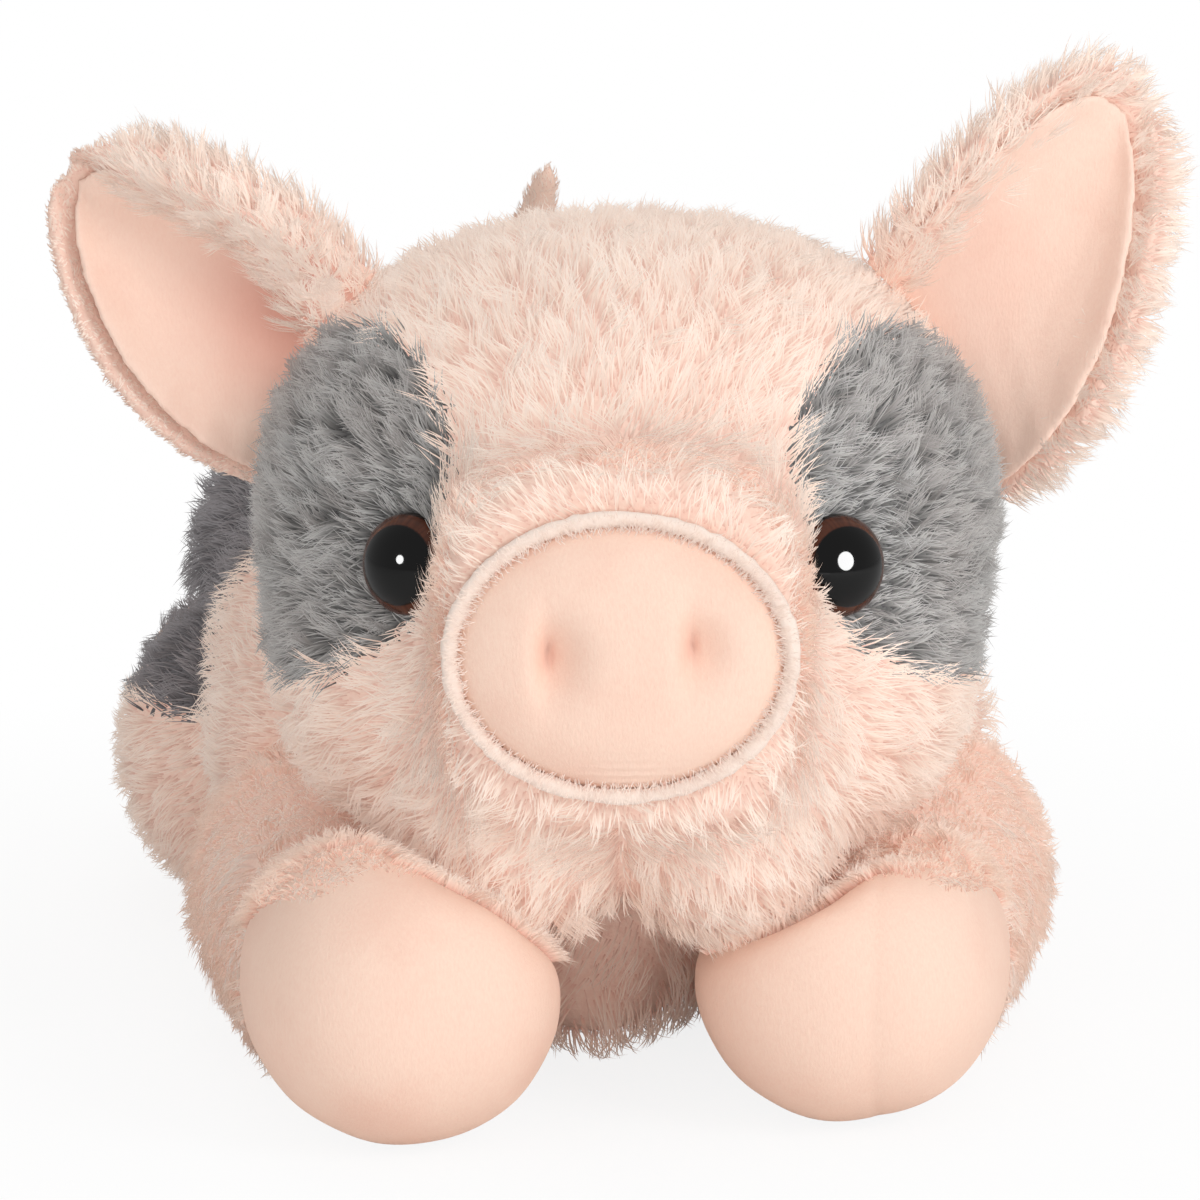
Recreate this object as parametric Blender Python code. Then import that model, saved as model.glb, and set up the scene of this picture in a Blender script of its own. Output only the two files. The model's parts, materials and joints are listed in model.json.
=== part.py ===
"""A stuffed pig that lies on its belly: sewn skins over fibre and pellet fillings, with plastic eyes.

Lengths are in metres, angles in degrees. The pig faces -Y, its left ear in a picture is at -X,
and it lies on z = 0.
"""

import math

import bmesh
import bpy
import numpy as np
from mathutils import Matrix, Vector
from mathutils.bvhtree import BVHTree

# Fabric and sewing
pile_thickness = 0.0030
velour_thickness = 0.0020
sewing_gap = 0.0003
floor_flat_depth = 0.0005
thread_radius = 0.0005
thread_lift = 0.0006
cut_overrun = 0.0200

# Head, in a frame at the middle of its ball
head_x = 0.0030
head_y = -0.0603
head_z = 0.0850
head_turn_at_rest = -9.0
head_turn_limit = 12.0
head_nod_limit = 20.0
neck_tilt = 41.0
neck_ball_radius = 0.0530
neck_opening_angle = 36.0
neck_band_angle = 50.0
neck_band_thickness = 0.0020
neck_clearance = 0.0006

cranium_half_width = 0.0572
cranium_half_depth = 0.0500
cranium_half_height = 0.0450
cranium_rise = 0.0055
brow_half_width = 0.0330
brow_half_depth = 0.0300
brow_half_height = 0.0300
brow_reach = 0.0200
brow_rise = 0.0150
cheek_half_width = 0.0260
cheek_half_depth = 0.0320
cheek_half_height = 0.0270
cheek_side = 0.0275
cheek_reach = 0.0170
cheek_drop = 0.0170
chin_half_width = 0.0180
chin_half_depth = 0.0230
chin_half_height = 0.0220
chin_side = 0.0145
chin_reach = 0.0400
chin_drop = 0.0330
muzzle_half_width = 0.0282
muzzle_half_depth = 0.0580
muzzle_half_height = 0.0290
muzzle_reach = 0.0330
muzzle_drop = 0.0050
muzzle_face_depth = 0.0700

# Grey panel round each eye
eye_panel_turn = 62.0
eye_panel_rise = 0.0100
eye_panel_half_width = 0.0310
eye_panel_half_height = 0.0270

# Snout
snout_half_width = 0.0245
snout_half_height = 0.0200
snout_edge_thickness = 0.0030
snout_dome = 0.0025
snout_rim_radius = 0.0011
nostril_side = 0.0108
nostril_half_width = 0.0034
nostril_half_height = 0.0046
nostril_depth = 0.0030
nostril_stitch_radius = 0.0009
nostril_stitch_length = 0.0040

# Eyes
eye_turn = 36.0
eye_rise = 0.0042
eye_radius = 0.0080
eye_dome_height = 0.0055
eye_stem_radius = 0.0016
eye_stem_length = 0.0095
eye_stem_clearance = 0.0004
eye_socket_depth = 0.0010
washer_radius = 0.0055
washer_thickness = 0.0012
washer_clearance = 0.0018
filling_clearance = 0.0012
leg_filling_clearance = 0.0024
washer_pocket_clearance = 0.0006

# Ears
ear_base_turn = 62.0
ear_base_set_back = 0.0020
ear_length_left = 0.0480
ear_length_right = 0.0460
ear_skew_left = 0.0100
ear_skew_right = 0.0240
ear_half_width_left = 0.0225
ear_half_width_right = 0.0245
ear_cup_depth = 0.0085
ear_back_thickness = 0.0024
ear_lining_thickness = 0.0014
ear_lining_margin = 0.0018
ear_seat_gap = 0.0008

# Torso, in a frame at its middle
torso_x = 0.0020
torso_y = 0.0247
shoulder_shift = 0.0040
shoulder_half_width = 0.0650
shoulder_half_depth = 0.0480
shoulder_half_height = 0.0395
shoulder_reach = 0.0400
shoulder_drop = 0.0020
belly_half_width = 0.0600
belly_half_depth = 0.0560
belly_half_height = 0.0425
rump_half_width = 0.0600
rump_half_depth = 0.0440
rump_half_height = 0.0495
rump_reach = 0.0480
rump_rise = 0.0070
saddle_y = 0.0667
saddle_z = 0.1070
saddle_half_width = 0.1200
saddle_half_depth = 0.0440
saddle_half_height = 0.0640
pellet_bag_y = 0.0057
pellet_bag_half_width = 0.0260
pellet_bag_half_depth = 0.0280
pellet_bag_half_height = 0.0090
pellet_bag_lift = 0.0020

# Front legs
front_root_side = 0.0460
front_root_shift = 0.0050
front_root_y = -0.0423
front_root_radius = 0.0255
front_span = 0.0640
front_wrist_radius = 0.0230
front_hoof_radius = 0.0255
front_hoof_reach = 0.0210
front_hoof_tip = 0.0250
front_turn_left = 2.0
front_turn_right = -17.0

# Hind legs
hind_root_side = 0.0440
hind_root_y = 0.0537
hind_root_radius = 0.0285
hind_span = 0.0610
hind_wrist_radius = 0.0230
hind_hoof_radius = 0.0235
hind_hoof_reach = 0.0210
hind_hoof_tip = 0.0230
hind_turn = 0.0
leg_swing_limit = 35.0
leg_joint_clearance = 0.0006
head_rest_clearance = 0.0025
head_rest_reach = 0.0040
leg_swing_poses = 4

# Tail
tail_root_x = 0.0060
tail_y = 0.0997
tail_aim_rise = 0.0480
tail_root_radius = 0.0055
tail_length = 0.0340
tail_lean = 0.0060
tail_curl = 0.0070

# How square the lobes are (2 is an ellipsoid), and how sharply they meet
round_power = 2.0
full_power = 2.2
square_power = 3.4
lobe_sharpness = 14.0

# Fineness of the meshes
ray_steps = 90
halvings = 26
head_cuts = 9
torso_cuts = 9
head_lining_cuts = 7
torso_lining_cuts = 5
bag_cuts = 4
limb_sides = 12
small_sides = 12
band_sides = 24
band_steps = 3
thread_sides = 6
dimple_cuts = 3
seam_points = 15
ear_columns = 6
nod_poses = 2
turn_poses = 7

# Shares of each limb's length at which a ring lies, and its radius as a share of the way between two sizes
root_cap_angles = (24.0, 48.0, 70.0, 90.0)
sleeve_shares = (0.0, 0.35, 0.70, 1.0)
hoof_cap_angles = (0.0, 25.0, 46.0, 64.0, 78.0)
ear_length_shares = (0.0, 0.12, 0.26, 0.42, 0.58, 0.72, 0.84, 0.93, 0.98, 1.0)
ear_width_shares = (0.93, 0.95, 0.97, 0.94, 0.86, 0.73, 0.58, 0.41, 0.25, 0.10)
ear_cup_shares = (0.0, 0.35, 0.75, 1.0, 1.0, 0.90, 0.70, 0.50, 0.35, 0.25)
ear_thickness_shares = (0.35, 0.80, 1.0, 1.0, 1.0, 1.0, 1.0, 0.90, 0.80, 0.60)
ear_skew_power = 1.3
hoof_swell_share = 0.80
hoof_bluntness_share = 0.72
snout_profile_shares = (
    (1.0, 0.0, 0.0),
    (1.0, 0.6, 0.0),
    (0.96, 1.0, 0.0),
    (0.75, 1.0, 0.5),
    (0.4, 1.0, 0.85),
)
eye_profile_shares = ((1.0, 0.0), (0.98, 0.25), (0.86, 0.60), (0.62, 0.84), (0.32, 0.96))
chin_seam_angles = (46.0, 74.0)
closing_seam_angles = (-28.0, 4.0)
tail_radius_shares = (0.75, 1.0, 0.95, 0.80, 0.62, 0.42)
tail_length_shares = (-0.10, 0.0, 0.25, 0.50, 0.72, 0.90)
torso_stretch_shares = (0.85, 1.15, 0.62)
neck_blend_shares = (0.10, 0.45)


def clear_scene():
    for leftover in list(bpy.data.objects):
        bpy.data.objects.remove(leftover, do_unlink=True)


def make_material(name, colour, roughness):
    material = bpy.data.materials.new(name)
    material.use_nodes = True
    shader = material.node_tree.nodes["Principled BSDF"]
    shader.inputs["Base Color"].default_value = (*colour, 1.0)
    shader.inputs["Roughness"].default_value = roughness
    shader.inputs["Metallic"].default_value = 0.0
    return material


def add_object(name, shape, material, frame, smooth=True):
    """Makes a named object from a bmesh, under the empty that is its frame."""
    bmesh.ops.recalc_face_normals(shape, faces=shape.faces)
    if shape.calc_volume(signed=True) < 0:
        bmesh.ops.reverse_faces(shape, faces=shape.faces)
    mesh = bpy.data.meshes.new(name)
    shape.to_mesh(mesh)
    shape.free()
    if smooth:
        mesh.shade_smooth()
    item = bpy.data.objects.new(name, mesh)
    bpy.context.scene.collection.objects.link(item)
    if material:
        item.data.materials.append(material)
    item.parent = frame
    return item


def add_frame(name, place, turn=None, parent=None):
    frame = bpy.data.objects.new(name, None)
    bpy.context.scene.collection.objects.link(frame)
    frame.parent = parent
    frame.location = place
    if turn is not None:
        frame.rotation_euler = turn.to_euler()
    return frame


def add_cutter(name, shape, frame):
    cutter = add_object(name, shape, None, frame, smooth=False)
    cutter.hide_render = True
    cutter.display_type = "WIRE"
    return cutter


def combine(item, other, operation, solver="EXACT"):
    change = item.modifiers.new(other.name, "BOOLEAN")
    change.object = other
    change.operation = operation
    change.solver = solver


def cut_away(item, *cutters, solver="EXACT"):
    for cutter in cutters:
        combine(item, cutter, "DIFFERENCE", solver)


def keep_within(item, cutter):
    combine(item, cutter, "INTERSECT")


# Shapes


def cube_sphere(cuts, stretch=(1, 1, 1)):
    """A unit sphere made of the six gridded faces of a cube."""
    shape = bmesh.new()
    bmesh.ops.create_cube(shape, size=2)
    bmesh.ops.subdivide_edges(shape, edges=shape.edges[:], cuts=cuts, use_grid_fill=True)
    for vert in shape.verts:
        even = [math.tan(value * math.pi / 4) * share for value, share in zip(vert.co, stretch)]
        vert.co = Vector(even).normalized()
    return shape


def ellipsoid(half_sizes, centre=(0, 0, 0), cuts=bag_cuts):
    shape = cube_sphere(cuts)
    for vert in shape.verts:
        vert.co = [middle + value * half for middle, value, half in zip(centre, vert.co, half_sizes)]
    return shape


def box(low, high):
    shape = bmesh.new()
    bmesh.ops.create_cube(shape, size=1)
    for vert in shape.verts:
        vert.co = [(near + far) / 2 + value * (far - near) for near, far, value in zip(low, high, vert.co)]
    return shape


def stack_rings(rings, first_pole=None, last_pole=None, closed=False):
    """Skins a row of rings of points, with a pole at an end or with the last ring joined to the first."""
    shape = bmesh.new()
    rows = [[shape.verts.new(point) for point in ring] for ring in rings]
    pairs = list(zip(rows[:-1], rows[1:]))
    if closed:
        pairs.append((rows[-1], rows[0]))
    for lower, upper in pairs:
        count = len(lower)
        for index in range(count):
            after = (index + 1) % count
            shape.faces.new((lower[index], lower[after], upper[after], upper[index]))
    for pole, row in ((first_pole, rows[0]), (last_pole, rows[-1])):
        if pole is None:
            continue
        tip = shape.verts.new(pole)
        for index, vert in enumerate(row):
            shape.faces.new((vert, row[(index + 1) % len(row)], tip))
    return shape


def turned(profile, sides=small_sides):
    """A solid turned about local Z from points (radius, height), which start and end on the axis."""
    rings = []
    for radius, height in profile[1:-1]:
        ring = []
        for index in range(sides):
            angle = 2 * math.pi * index / sides
            ring.append((radius * math.cos(angle), radius * math.sin(angle), height))
        rings.append(ring)
    return stack_rings(rings, (0, 0, profile[0][1]), (0, 0, profile[-1][1]))


def washer_ring(outer_radius, inner_radius, low, high, sides=small_sides):
    corners = ((outer_radius, low), (outer_radius, high), (inner_radius, high), (inner_radius, low))
    rings = []
    for radius, height in corners:
        angles = [2 * math.pi * index / sides for index in range(sides)]
        rings.append([(radius * math.cos(angle), radius * math.sin(angle), height) for angle in angles])
    return stack_rings(rings, closed=True)


def thread(points, radius, sides=thread_sides):
    """A round thread through the points, with pointed ends."""
    rings = []
    route = [Vector(point) for point in points]
    for index, point in enumerate(route):
        before = route[max(index - 1, 0)]
        after = route[min(index + 1, len(route) - 1)]
        turn = (after - before).to_track_quat("Z", "Y").to_matrix()
        ring = []
        for step in range(sides):
            angle = 2 * math.pi * step / sides
            ring.append(point + turn @ Vector((radius * math.cos(angle), radius * math.sin(angle), 0)))
        rings.append(ring)
    start = route[0] + (route[0] - route[1]).normalized() * radius
    end = route[-1] + (route[-1] - route[-2]).normalized() * radius
    return stack_rings(rings, start, end)


# Swollen forms: lobes of stuffing blended into one smooth surface


def lobe_field(points, lobes):
    """Above zero inside the blended surface of the lobes."""
    total = -np.ones(len(points))
    for centre, half_sizes, squareness in lobes:
        offset = np.abs((points - np.array(centre)) / np.array(half_sizes))
        reach = np.sum(offset**squareness, axis=1) ** (1 / squareness)
        total += np.exp(lobe_sharpness * (1 - reach))
    return total


def surface_distance(directions, lobes):
    """How far the blended surface lies from the frame's origin along each unit direction."""
    farthest = max(np.linalg.norm(centre) + 2 * max(half_sizes) for centre, half_sizes, _ in lobes)
    steps = np.linspace(farthest, 0, ray_steps)
    inside = np.stack([lobe_field(directions * step, lobes) > 0 for step in steps])
    first = np.argmax(inside, axis=0)
    near = steps[first]
    far = steps[np.maximum(first - 1, 0)]
    for _ in range(halvings):
        middle = (near + far) / 2
        within = lobe_field(directions * middle[:, None], lobes) > 0
        near = np.where(within, middle, near)
        far = np.where(within, far, middle)
    return near


def shrink(lobes, inset):
    shrunk = []
    for centre, half_sizes, power in lobes:
        shrunk.append((centre, tuple(half - inset for half in half_sizes), power))
    return shrunk


def ease(value, low, high):
    share = np.clip((value - low) / (high - low), 0, 1)
    return share * share * (3 - 2 * share)


def head_lobes():
    muzzle_sizes = (muzzle_half_width, muzzle_half_depth, muzzle_half_height)
    lobes = [
        ((0, 0, cranium_rise), (cranium_half_width, cranium_half_depth, cranium_half_height), full_power),
        ((0, -brow_reach, brow_rise), (brow_half_width, brow_half_depth, brow_half_height), round_power),
        ((0, -muzzle_reach, -muzzle_drop), muzzle_sizes, square_power),
    ]
    for side in (-1, 1):
        cheek = (side * cheek_side, -cheek_reach, -cheek_drop)
        lobes.append((cheek, (cheek_half_width, cheek_half_depth, cheek_half_height), round_power))
        chin = (side * chin_side, -chin_reach, -chin_drop)
        lobes.append((chin, (chin_half_width, chin_half_depth, chin_half_height), round_power))
    return lobes


def neck_direction():
    tilt = math.radians(neck_tilt)
    return np.array((0, math.cos(tilt), -math.sin(tilt)))


def head_distance(directions, inset=0.0):
    """The head's surface: blended lobes, and a true ball where it turns in the torso."""
    distance = surface_distance(directions, shrink(head_lobes(), inset))
    ball_share = ease(directions @ neck_direction(), *neck_blend_shares)
    return distance * (1 - ball_share) + (neck_ball_radius - inset) * ball_share


def torso_lobes():
    shoulders = (shoulder_shift, -shoulder_reach, -shoulder_drop)
    return [
        (shoulders, (shoulder_half_width, shoulder_half_depth, shoulder_half_height), full_power),
        ((0, 0, 0), (belly_half_width, belly_half_depth, belly_half_height), full_power),
        ((0, rump_reach, rump_rise), (rump_half_width, rump_half_depth, rump_half_height), full_power),
    ]


def torso_distance(directions, inset=0.0):
    return surface_distance(directions, shrink(torso_lobes(), inset))


def radial_form(distance, cuts, stretch=(1, 1, 1), inset=0.0):
    shape = cube_sphere(cuts, stretch)
    directions = np.array([vert.co[:] for vert in shape.verts])
    for vert, direction, reach in zip(shape.verts, directions, distance(directions, inset)):
        vert.co = direction * reach
    bmesh.ops.triangulate(shape, faces=shape.faces, quad_method="FIXED")
    return shape


def seam_over(form, angles, facing):
    """A thread down the middle of a form, on its forward (-1) or back (1) side, between two angles."""
    tree = BVHTree.FromBMesh(form)
    first, last = angles
    points = []
    for step in range(seam_points):
        angle = math.radians(first + (last - first) * step / (seam_points - 1))
        direction = Vector((0, facing * math.cos(angle), facing * math.sin(angle)))
        far = direction * (rump_half_depth + rump_reach + cut_overrun)
        reaches = []
        for side in (-1, 0, 1):
            start = far + Vector((side * thread_radius, 0, 0))
            hit = tree.ray_cast(start, -direction)
            reaches.append((hit[0] - Vector((start.x, 0, 0))).length)
        points.append(direction * (max(reaches) + thread_lift + thread_radius))
    form.free()
    return thread(points, thread_radius)


def seat_on(distance, direction, radius):
    """Middle and outward normal of the round patch of surface in this direction."""
    aim = Vector(direction).normalized()
    turn = aim_matrix(aim).to_3x3()
    middle = Vector(surface_point(distance, aim, 0))
    ring = []
    for index in range(small_sides):
        angle = 2 * math.pi * index / small_sides
        spot = middle + turn @ Vector((radius * math.cos(angle), radius * math.sin(angle), 0))
        ring.append(Vector(surface_point(distance, spot, 0)))
    centre = middle_of(ring)
    normal = Vector()
    for index, spot in enumerate(ring):
        normal += (spot - centre).cross(ring[(index + 1) % len(ring)] - centre)
    normal.normalize()
    return centre, normal


def unit(direction):
    return np.array(direction) / np.linalg.norm(direction)


def surface_point(distance, direction, lift):
    """A point over the surface in this direction, as far out as the lift."""
    aim = unit(direction)
    return aim * (distance(aim[None, :])[0] + lift)


def aim_matrix(direction):
    """Turns local Z to the direction, with local Y as near to up as it can be."""
    return Vector(direction).to_track_quat("Z", "Y").to_matrix().to_4x4()


def head_side_direction(side, turn, rise):
    """A direction from the head's middle, turned from straight ahead to one side."""
    angle = math.radians(turn)
    ahead = math.sqrt(neck_ball_radius**2 - rise**2)
    return (side * math.sin(angle) * ahead, -math.cos(angle) * ahead, rise)


# Limbs: rings about a straight run from the root ball to the hoof


def limb_lift(radius):
    """Height of a ring's middle whose lowest side lies just under the floor's level."""
    return radius * math.cos(math.pi / limb_sides) - floor_flat_depth


def limb_rings(sizes, inset, part):
    """Rings along the limb from its root ball to its hoof, as (place, radius, height of the middle)."""
    root, span, wrist, hoof, reach, tip = sizes
    rings = []
    if part in ("sleeve", "whole"):
        for angle in root_cap_angles[:-1]:
            turn = math.radians(angle)
            reach_back = -(root - inset) * math.cos(turn)
            rings.append((reach_back, (root - inset) * math.sin(turn), limb_lift(root)))
        for share in sleeve_shares:
            radius = root + (wrist - root) * ease(share, 0, 1)
            rings.append(((span - reach) * share, radius - inset, limb_lift(radius)))
    if part in ("hoof", "whole"):
        start = span - reach + sewing_gap
        if part == "hoof":
            rings.append((start, wrist - inset, limb_lift(wrist)))
        radius = wrist + (hoof - wrist) * hoof_swell_share
        rings.append(((start + span) / 2, radius - inset, limb_lift(radius)))
        for angle in hoof_cap_angles:
            turn = math.radians(angle)
            place = span + (tip - inset) * math.sin(turn)
            rings.append((place, (hoof - inset) * math.cos(turn) ** hoof_bluntness_share, limb_lift(hoof)))
    return rings


def ring_points(place, radius, height):
    points = []
    for index in range(limb_sides):
        angle = 2 * math.pi * (index + 0.5) / limb_sides
        points.append(Vector((radius * math.sin(angle), -place, height - radius * math.cos(angle))))
    return points


class Limb:
    """One leg: where its root joint is, which way it points, and its sizes."""

    def __init__(self, name, root, turn, sizes, swing_sense):
        self.name = name
        self.root = Vector(root)
        self.turn = turn
        self.sizes = sizes
        self.swing_sense = swing_sense

    def free_points(self, inset, part):
        """Rings of points in the world, before floor and head press on them."""
        turn = Matrix.Rotation(math.radians(self.turn), 3, "Z")
        result = []
        for place, radius, height in limb_rings(self.sizes, inset, part):
            level = Vector((self.root.x, self.root.y, 0))
            result.append([turn @ point + level for point in ring_points(place, radius, height)])
        return result

    def points(self, part, inset, ceiling):
        """Rings in the root's frame, pressed between the floor and what lies on the limb, then drawn in."""
        rings = []
        for ring in self.free_points(0, part):
            pressed = []
            for point in ring:
                height = max(point.z, 0)
                if ceiling:
                    height = min(height, ceiling(point.x, point.y))
                pressed.append(Vector((point.x, point.y, height)) - self.root)
            rings.append(pressed)
        centres = [middle_of(ring) for ring in rings]
        if part == "sleeve":
            caps = len(root_cap_angles) - 1
            centres[:caps] = [centres[caps]] * caps
        else:
            caps = len(hoof_cap_angles)
            centres[-caps:] = [centres[-caps]] * caps
        result = []
        for ring, centre in zip(rings, centres):
            result.append([point + (centre - point).normalized() * inset for point in ring])
        return result

    def pole(self, place, radius):
        turn = Matrix.Rotation(math.radians(self.turn), 3, "Z")
        return turn @ Vector((0, -place, limb_lift(radius) - self.root.z))

    def root_pole(self, inset):
        return self.pole(-(self.sizes[0] - inset), self.sizes[0])

    def tip(self, inset):
        return self.pole(self.sizes[1] + self.sizes[5] - inset, self.sizes[3])


def sleeve_shape(limb, ceiling):
    outer = limb.points("sleeve", 0, ceiling)
    inner = limb.points("sleeve", pile_thickness, ceiling)
    return stack_rings(outer + inner[::-1], closed=True)


def hoof_shape(limb, ceiling):
    outer = limb.points("hoof", 0, ceiling)
    inner = limb.points("hoof", velour_thickness, ceiling)
    return stack_rings(outer[::-1] + inner, limb.tip(0), limb.tip(velour_thickness))


def middle_of(ring):
    return sum(ring, Vector()) / len(ring)


def settle_filling(rings, poles):
    """Lets a filling that is slack in its skin lie on the bottom of it."""
    sag = Vector((0, 0, leg_filling_clearance - 2 * sewing_gap))
    return [[point - sag for point in ring] for ring in rings], [pole - sag for pole in poles]


def sleeve_filling_shape(limb, ceiling):
    """Fibre in the sleeve and in the root ball."""
    inset = pile_thickness + leg_filling_clearance
    rings = limb.points("sleeve", inset, ceiling)
    rings, poles = settle_filling(rings, (limb.root_pole(inset), middle_of(rings[-1])))
    return stack_rings(rings, *poles)


def hoof_filling_shape(limb, ceiling):
    """Pellets in the hoof."""
    inset = velour_thickness + leg_filling_clearance
    rings = limb.points("hoof", inset, ceiling)
    rings, poles = settle_filling(rings, (middle_of(rings[0]), limb.tip(inset)))
    return stack_rings(rings, *poles)


def limb_hollow(limb):
    """The space that the limb swings through, with a clearance all round."""
    rings = limb.free_points(-leg_joint_clearance, "whole")
    points = [point - limb.root for point in sum(rings, [])]
    points += [limb.root_pole(-leg_joint_clearance), limb.tip(-leg_joint_clearance)]
    shape = bmesh.new()
    for step in range(leg_swing_poses):
        angle = limb.swing_sense * leg_swing_limit * step / (leg_swing_poses - 1)
        swing = Matrix.Rotation(math.radians(angle), 3, "Z")
        for point in points:
            shape.verts.new(swing @ point)
    hull = bmesh.ops.convex_hull(shape, input=shape.verts[:])
    bmesh.ops.delete(shape, geom=list(set(hull["geom_interior"])), context="VERTS")
    return shape


def head_matrix(turn, nod):
    place = Matrix.Translation((head_x, head_y, head_z))
    yaw = Matrix.Rotation(math.radians(head_turn_at_rest + turn), 4, "Z")
    return place @ yaw @ Matrix.Rotation(-math.radians(nod), 4, "X")


def head_underside():
    """The lowest place of the head over and close round any point of the floor, at every turn and nod."""
    shape = radial_form(head_distance, head_cuts)
    shape.verts.ensure_lookup_table()
    faces = [[vert.index for vert in face.verts] for face in shape.faces]
    trees = []
    for step in range(turn_poses):
        turn = head_turn_limit * (2 * step / (turn_poses - 1) - 1)
        for nod_step in range(nod_poses):
            pose = head_matrix(turn, head_nod_limit * nod_step / (nod_poses - 1))
            points = [pose @ vert.co for vert in shape.verts]
            trees.append(BVHTree.FromPolygons(points, faces))
    shape.free()
    dish = neck_dish_radius()

    def lowest(x, y):
        heights = [head_z]
        for across, along in ((0, 0), (1, 0), (-1, 0), (0, 1), (0, -1)):
            start = Vector((x + across * head_rest_reach, y + along * head_rest_reach, -cut_overrun))
            for tree in trees:
                hit = tree.ray_cast(start, Vector((0, 0, 1)))
                if hit[0] is not None:
                    heights.append(hit[0].z - head_rest_clearance)
        level = (x - head_x) ** 2 + (y - head_y) ** 2
        if level < dish**2:
            heights.append(head_z - math.sqrt(dish**2 - level) - sewing_gap)
        return min(heights)

    return lowest


def neck_dish_radius():
    return neck_ball_radius + 2 * neck_clearance + neck_band_thickness


def swung_ceiling(limb, lowest):
    """The lowest place of the head over a point of the limb, wherever the limb has swung to."""
    turns = []
    for step in range(leg_swing_poses):
        angle = limb.swing_sense * leg_swing_limit * step / (leg_swing_poses - 1)
        turns.append(Matrix.Rotation(math.radians(angle), 3, "Z"))

    def ceiling(x, y):
        offset = Vector((x, y, 0)) - Vector((limb.root.x, limb.root.y, 0))
        places = [limb.root + turn @ offset for turn in turns]
        return min(lowest(place.x, place.y) for place in places)

    return ceiling


def elliptic_prism(half_width, half_height, near, far, sides):
    rings = []
    for height in (near, far):
        ring = []
        for index in range(sides):
            angle = 2 * math.pi * index / sides
            ring.append((half_width * math.cos(angle), half_height * math.sin(angle), height))
        rings.append(ring)
    return stack_rings(rings, (0, 0, near), (0, 0, far))


def slab(front, back):
    """A closed sheet between two matching grids of points."""
    shape = bmesh.new()
    rows = len(front)
    columns = len(front[0])
    grids = [[[shape.verts.new(point) for point in row] for row in grid] for grid in (front, back)]
    for grid in grids:
        for row in range(rows - 1):
            for column in range(columns - 1):
                lower = (grid[row][column], grid[row][column + 1])
                upper = (grid[row + 1][column + 1], grid[row + 1][column])
                shape.faces.new(lower + upper)
    border = [(0, column) for column in range(columns)]
    border += [(row, columns - 1) for row in range(1, rows)]
    border += [(rows - 1, column) for column in range(columns - 2, -1, -1)]
    border += [(row, 0) for row in range(rows - 2, 0, -1)]
    for index, (row, column) in enumerate(border):
        next_row, next_column = border[(index + 1) % len(border)]
        near, far = grids
        front_edge = (near[row][column], near[next_row][next_column])
        back_edge = (far[next_row][next_column], far[row][column])
        shape.faces.new(front_edge + back_edge)
    return shape


# Assemblies


def ear_surface(side, sizes, margin, seat_radius):
    """Grid of points of the ear's cupped face; local Z runs up the ear and local X along its base."""
    length, widest, skew = sizes
    grid = []
    for height_share, width_share, cup_share in zip(ear_length_shares, ear_width_shares, ear_cup_shares):
        row = []
        half_width = max(widest * width_share - margin, margin / 2)
        for column in range(ear_columns + 1):
            across = 2 * column / ear_columns - 1
            x = across * half_width
            drop = (seat_radius - math.sqrt(seat_radius**2 - x**2)) * (1 - height_share)
            y = side * ear_cup_depth * cup_share * across**2
            z = height_share * (length - margin) - drop
            row.append((x + skew * height_share**ear_skew_power, y, z))
        grid.append(row)
    return np.array(grid)


def offset_grid(grid, side, distance):
    """The same grid moved towards the ear's front by a share of the distance that each row has."""
    along = np.gradient(grid, axis=1)
    upward = np.gradient(grid, axis=0)
    normal = np.cross(along, upward)
    normal /= np.linalg.norm(normal, axis=2)[:, :, None]
    normal *= np.sign(normal[:, :, 1:2]) * side
    shares = np.array(ear_thickness_shares)[:, None, None]
    return grid + normal * shares * distance


def make_ear(side, word, sizes, head, materials):
    angle = math.radians(ear_base_turn)
    outward = unit((side * math.sin(angle), 0, math.cos(angle)))
    seat = surface_point(head_distance, outward, ear_seat_gap)
    upward = Vector((-side * outward[2], 0, abs(outward[0])))
    axis_z = Vector(outward)
    axis_y = axis_z.cross(upward)
    turn = Matrix((upward, axis_y, axis_z)).transposed()
    place = Vector(seat) + Vector((0, ear_base_set_back, 0))
    frame = add_frame("ear_root_" + word, place, turn, head)
    seat_radius = float(np.linalg.norm(seat))
    middle = ear_surface(side, sizes, 0, seat_radius)
    back = offset_grid(middle, side, -ear_back_thickness)
    add_object("ear_back_" + word, slab(middle, back), materials["pile"], frame)
    lining = ear_surface(side, sizes, ear_lining_margin, seat_radius)
    lining_back = offset_grid(lining, side, sewing_gap / ear_thickness_shares[0])
    lining_front = offset_grid(lining_back, side, ear_lining_thickness)
    add_object("ear_lining_" + word, slab(lining_back, lining_front), materials["ear_velour"], frame)


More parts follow.
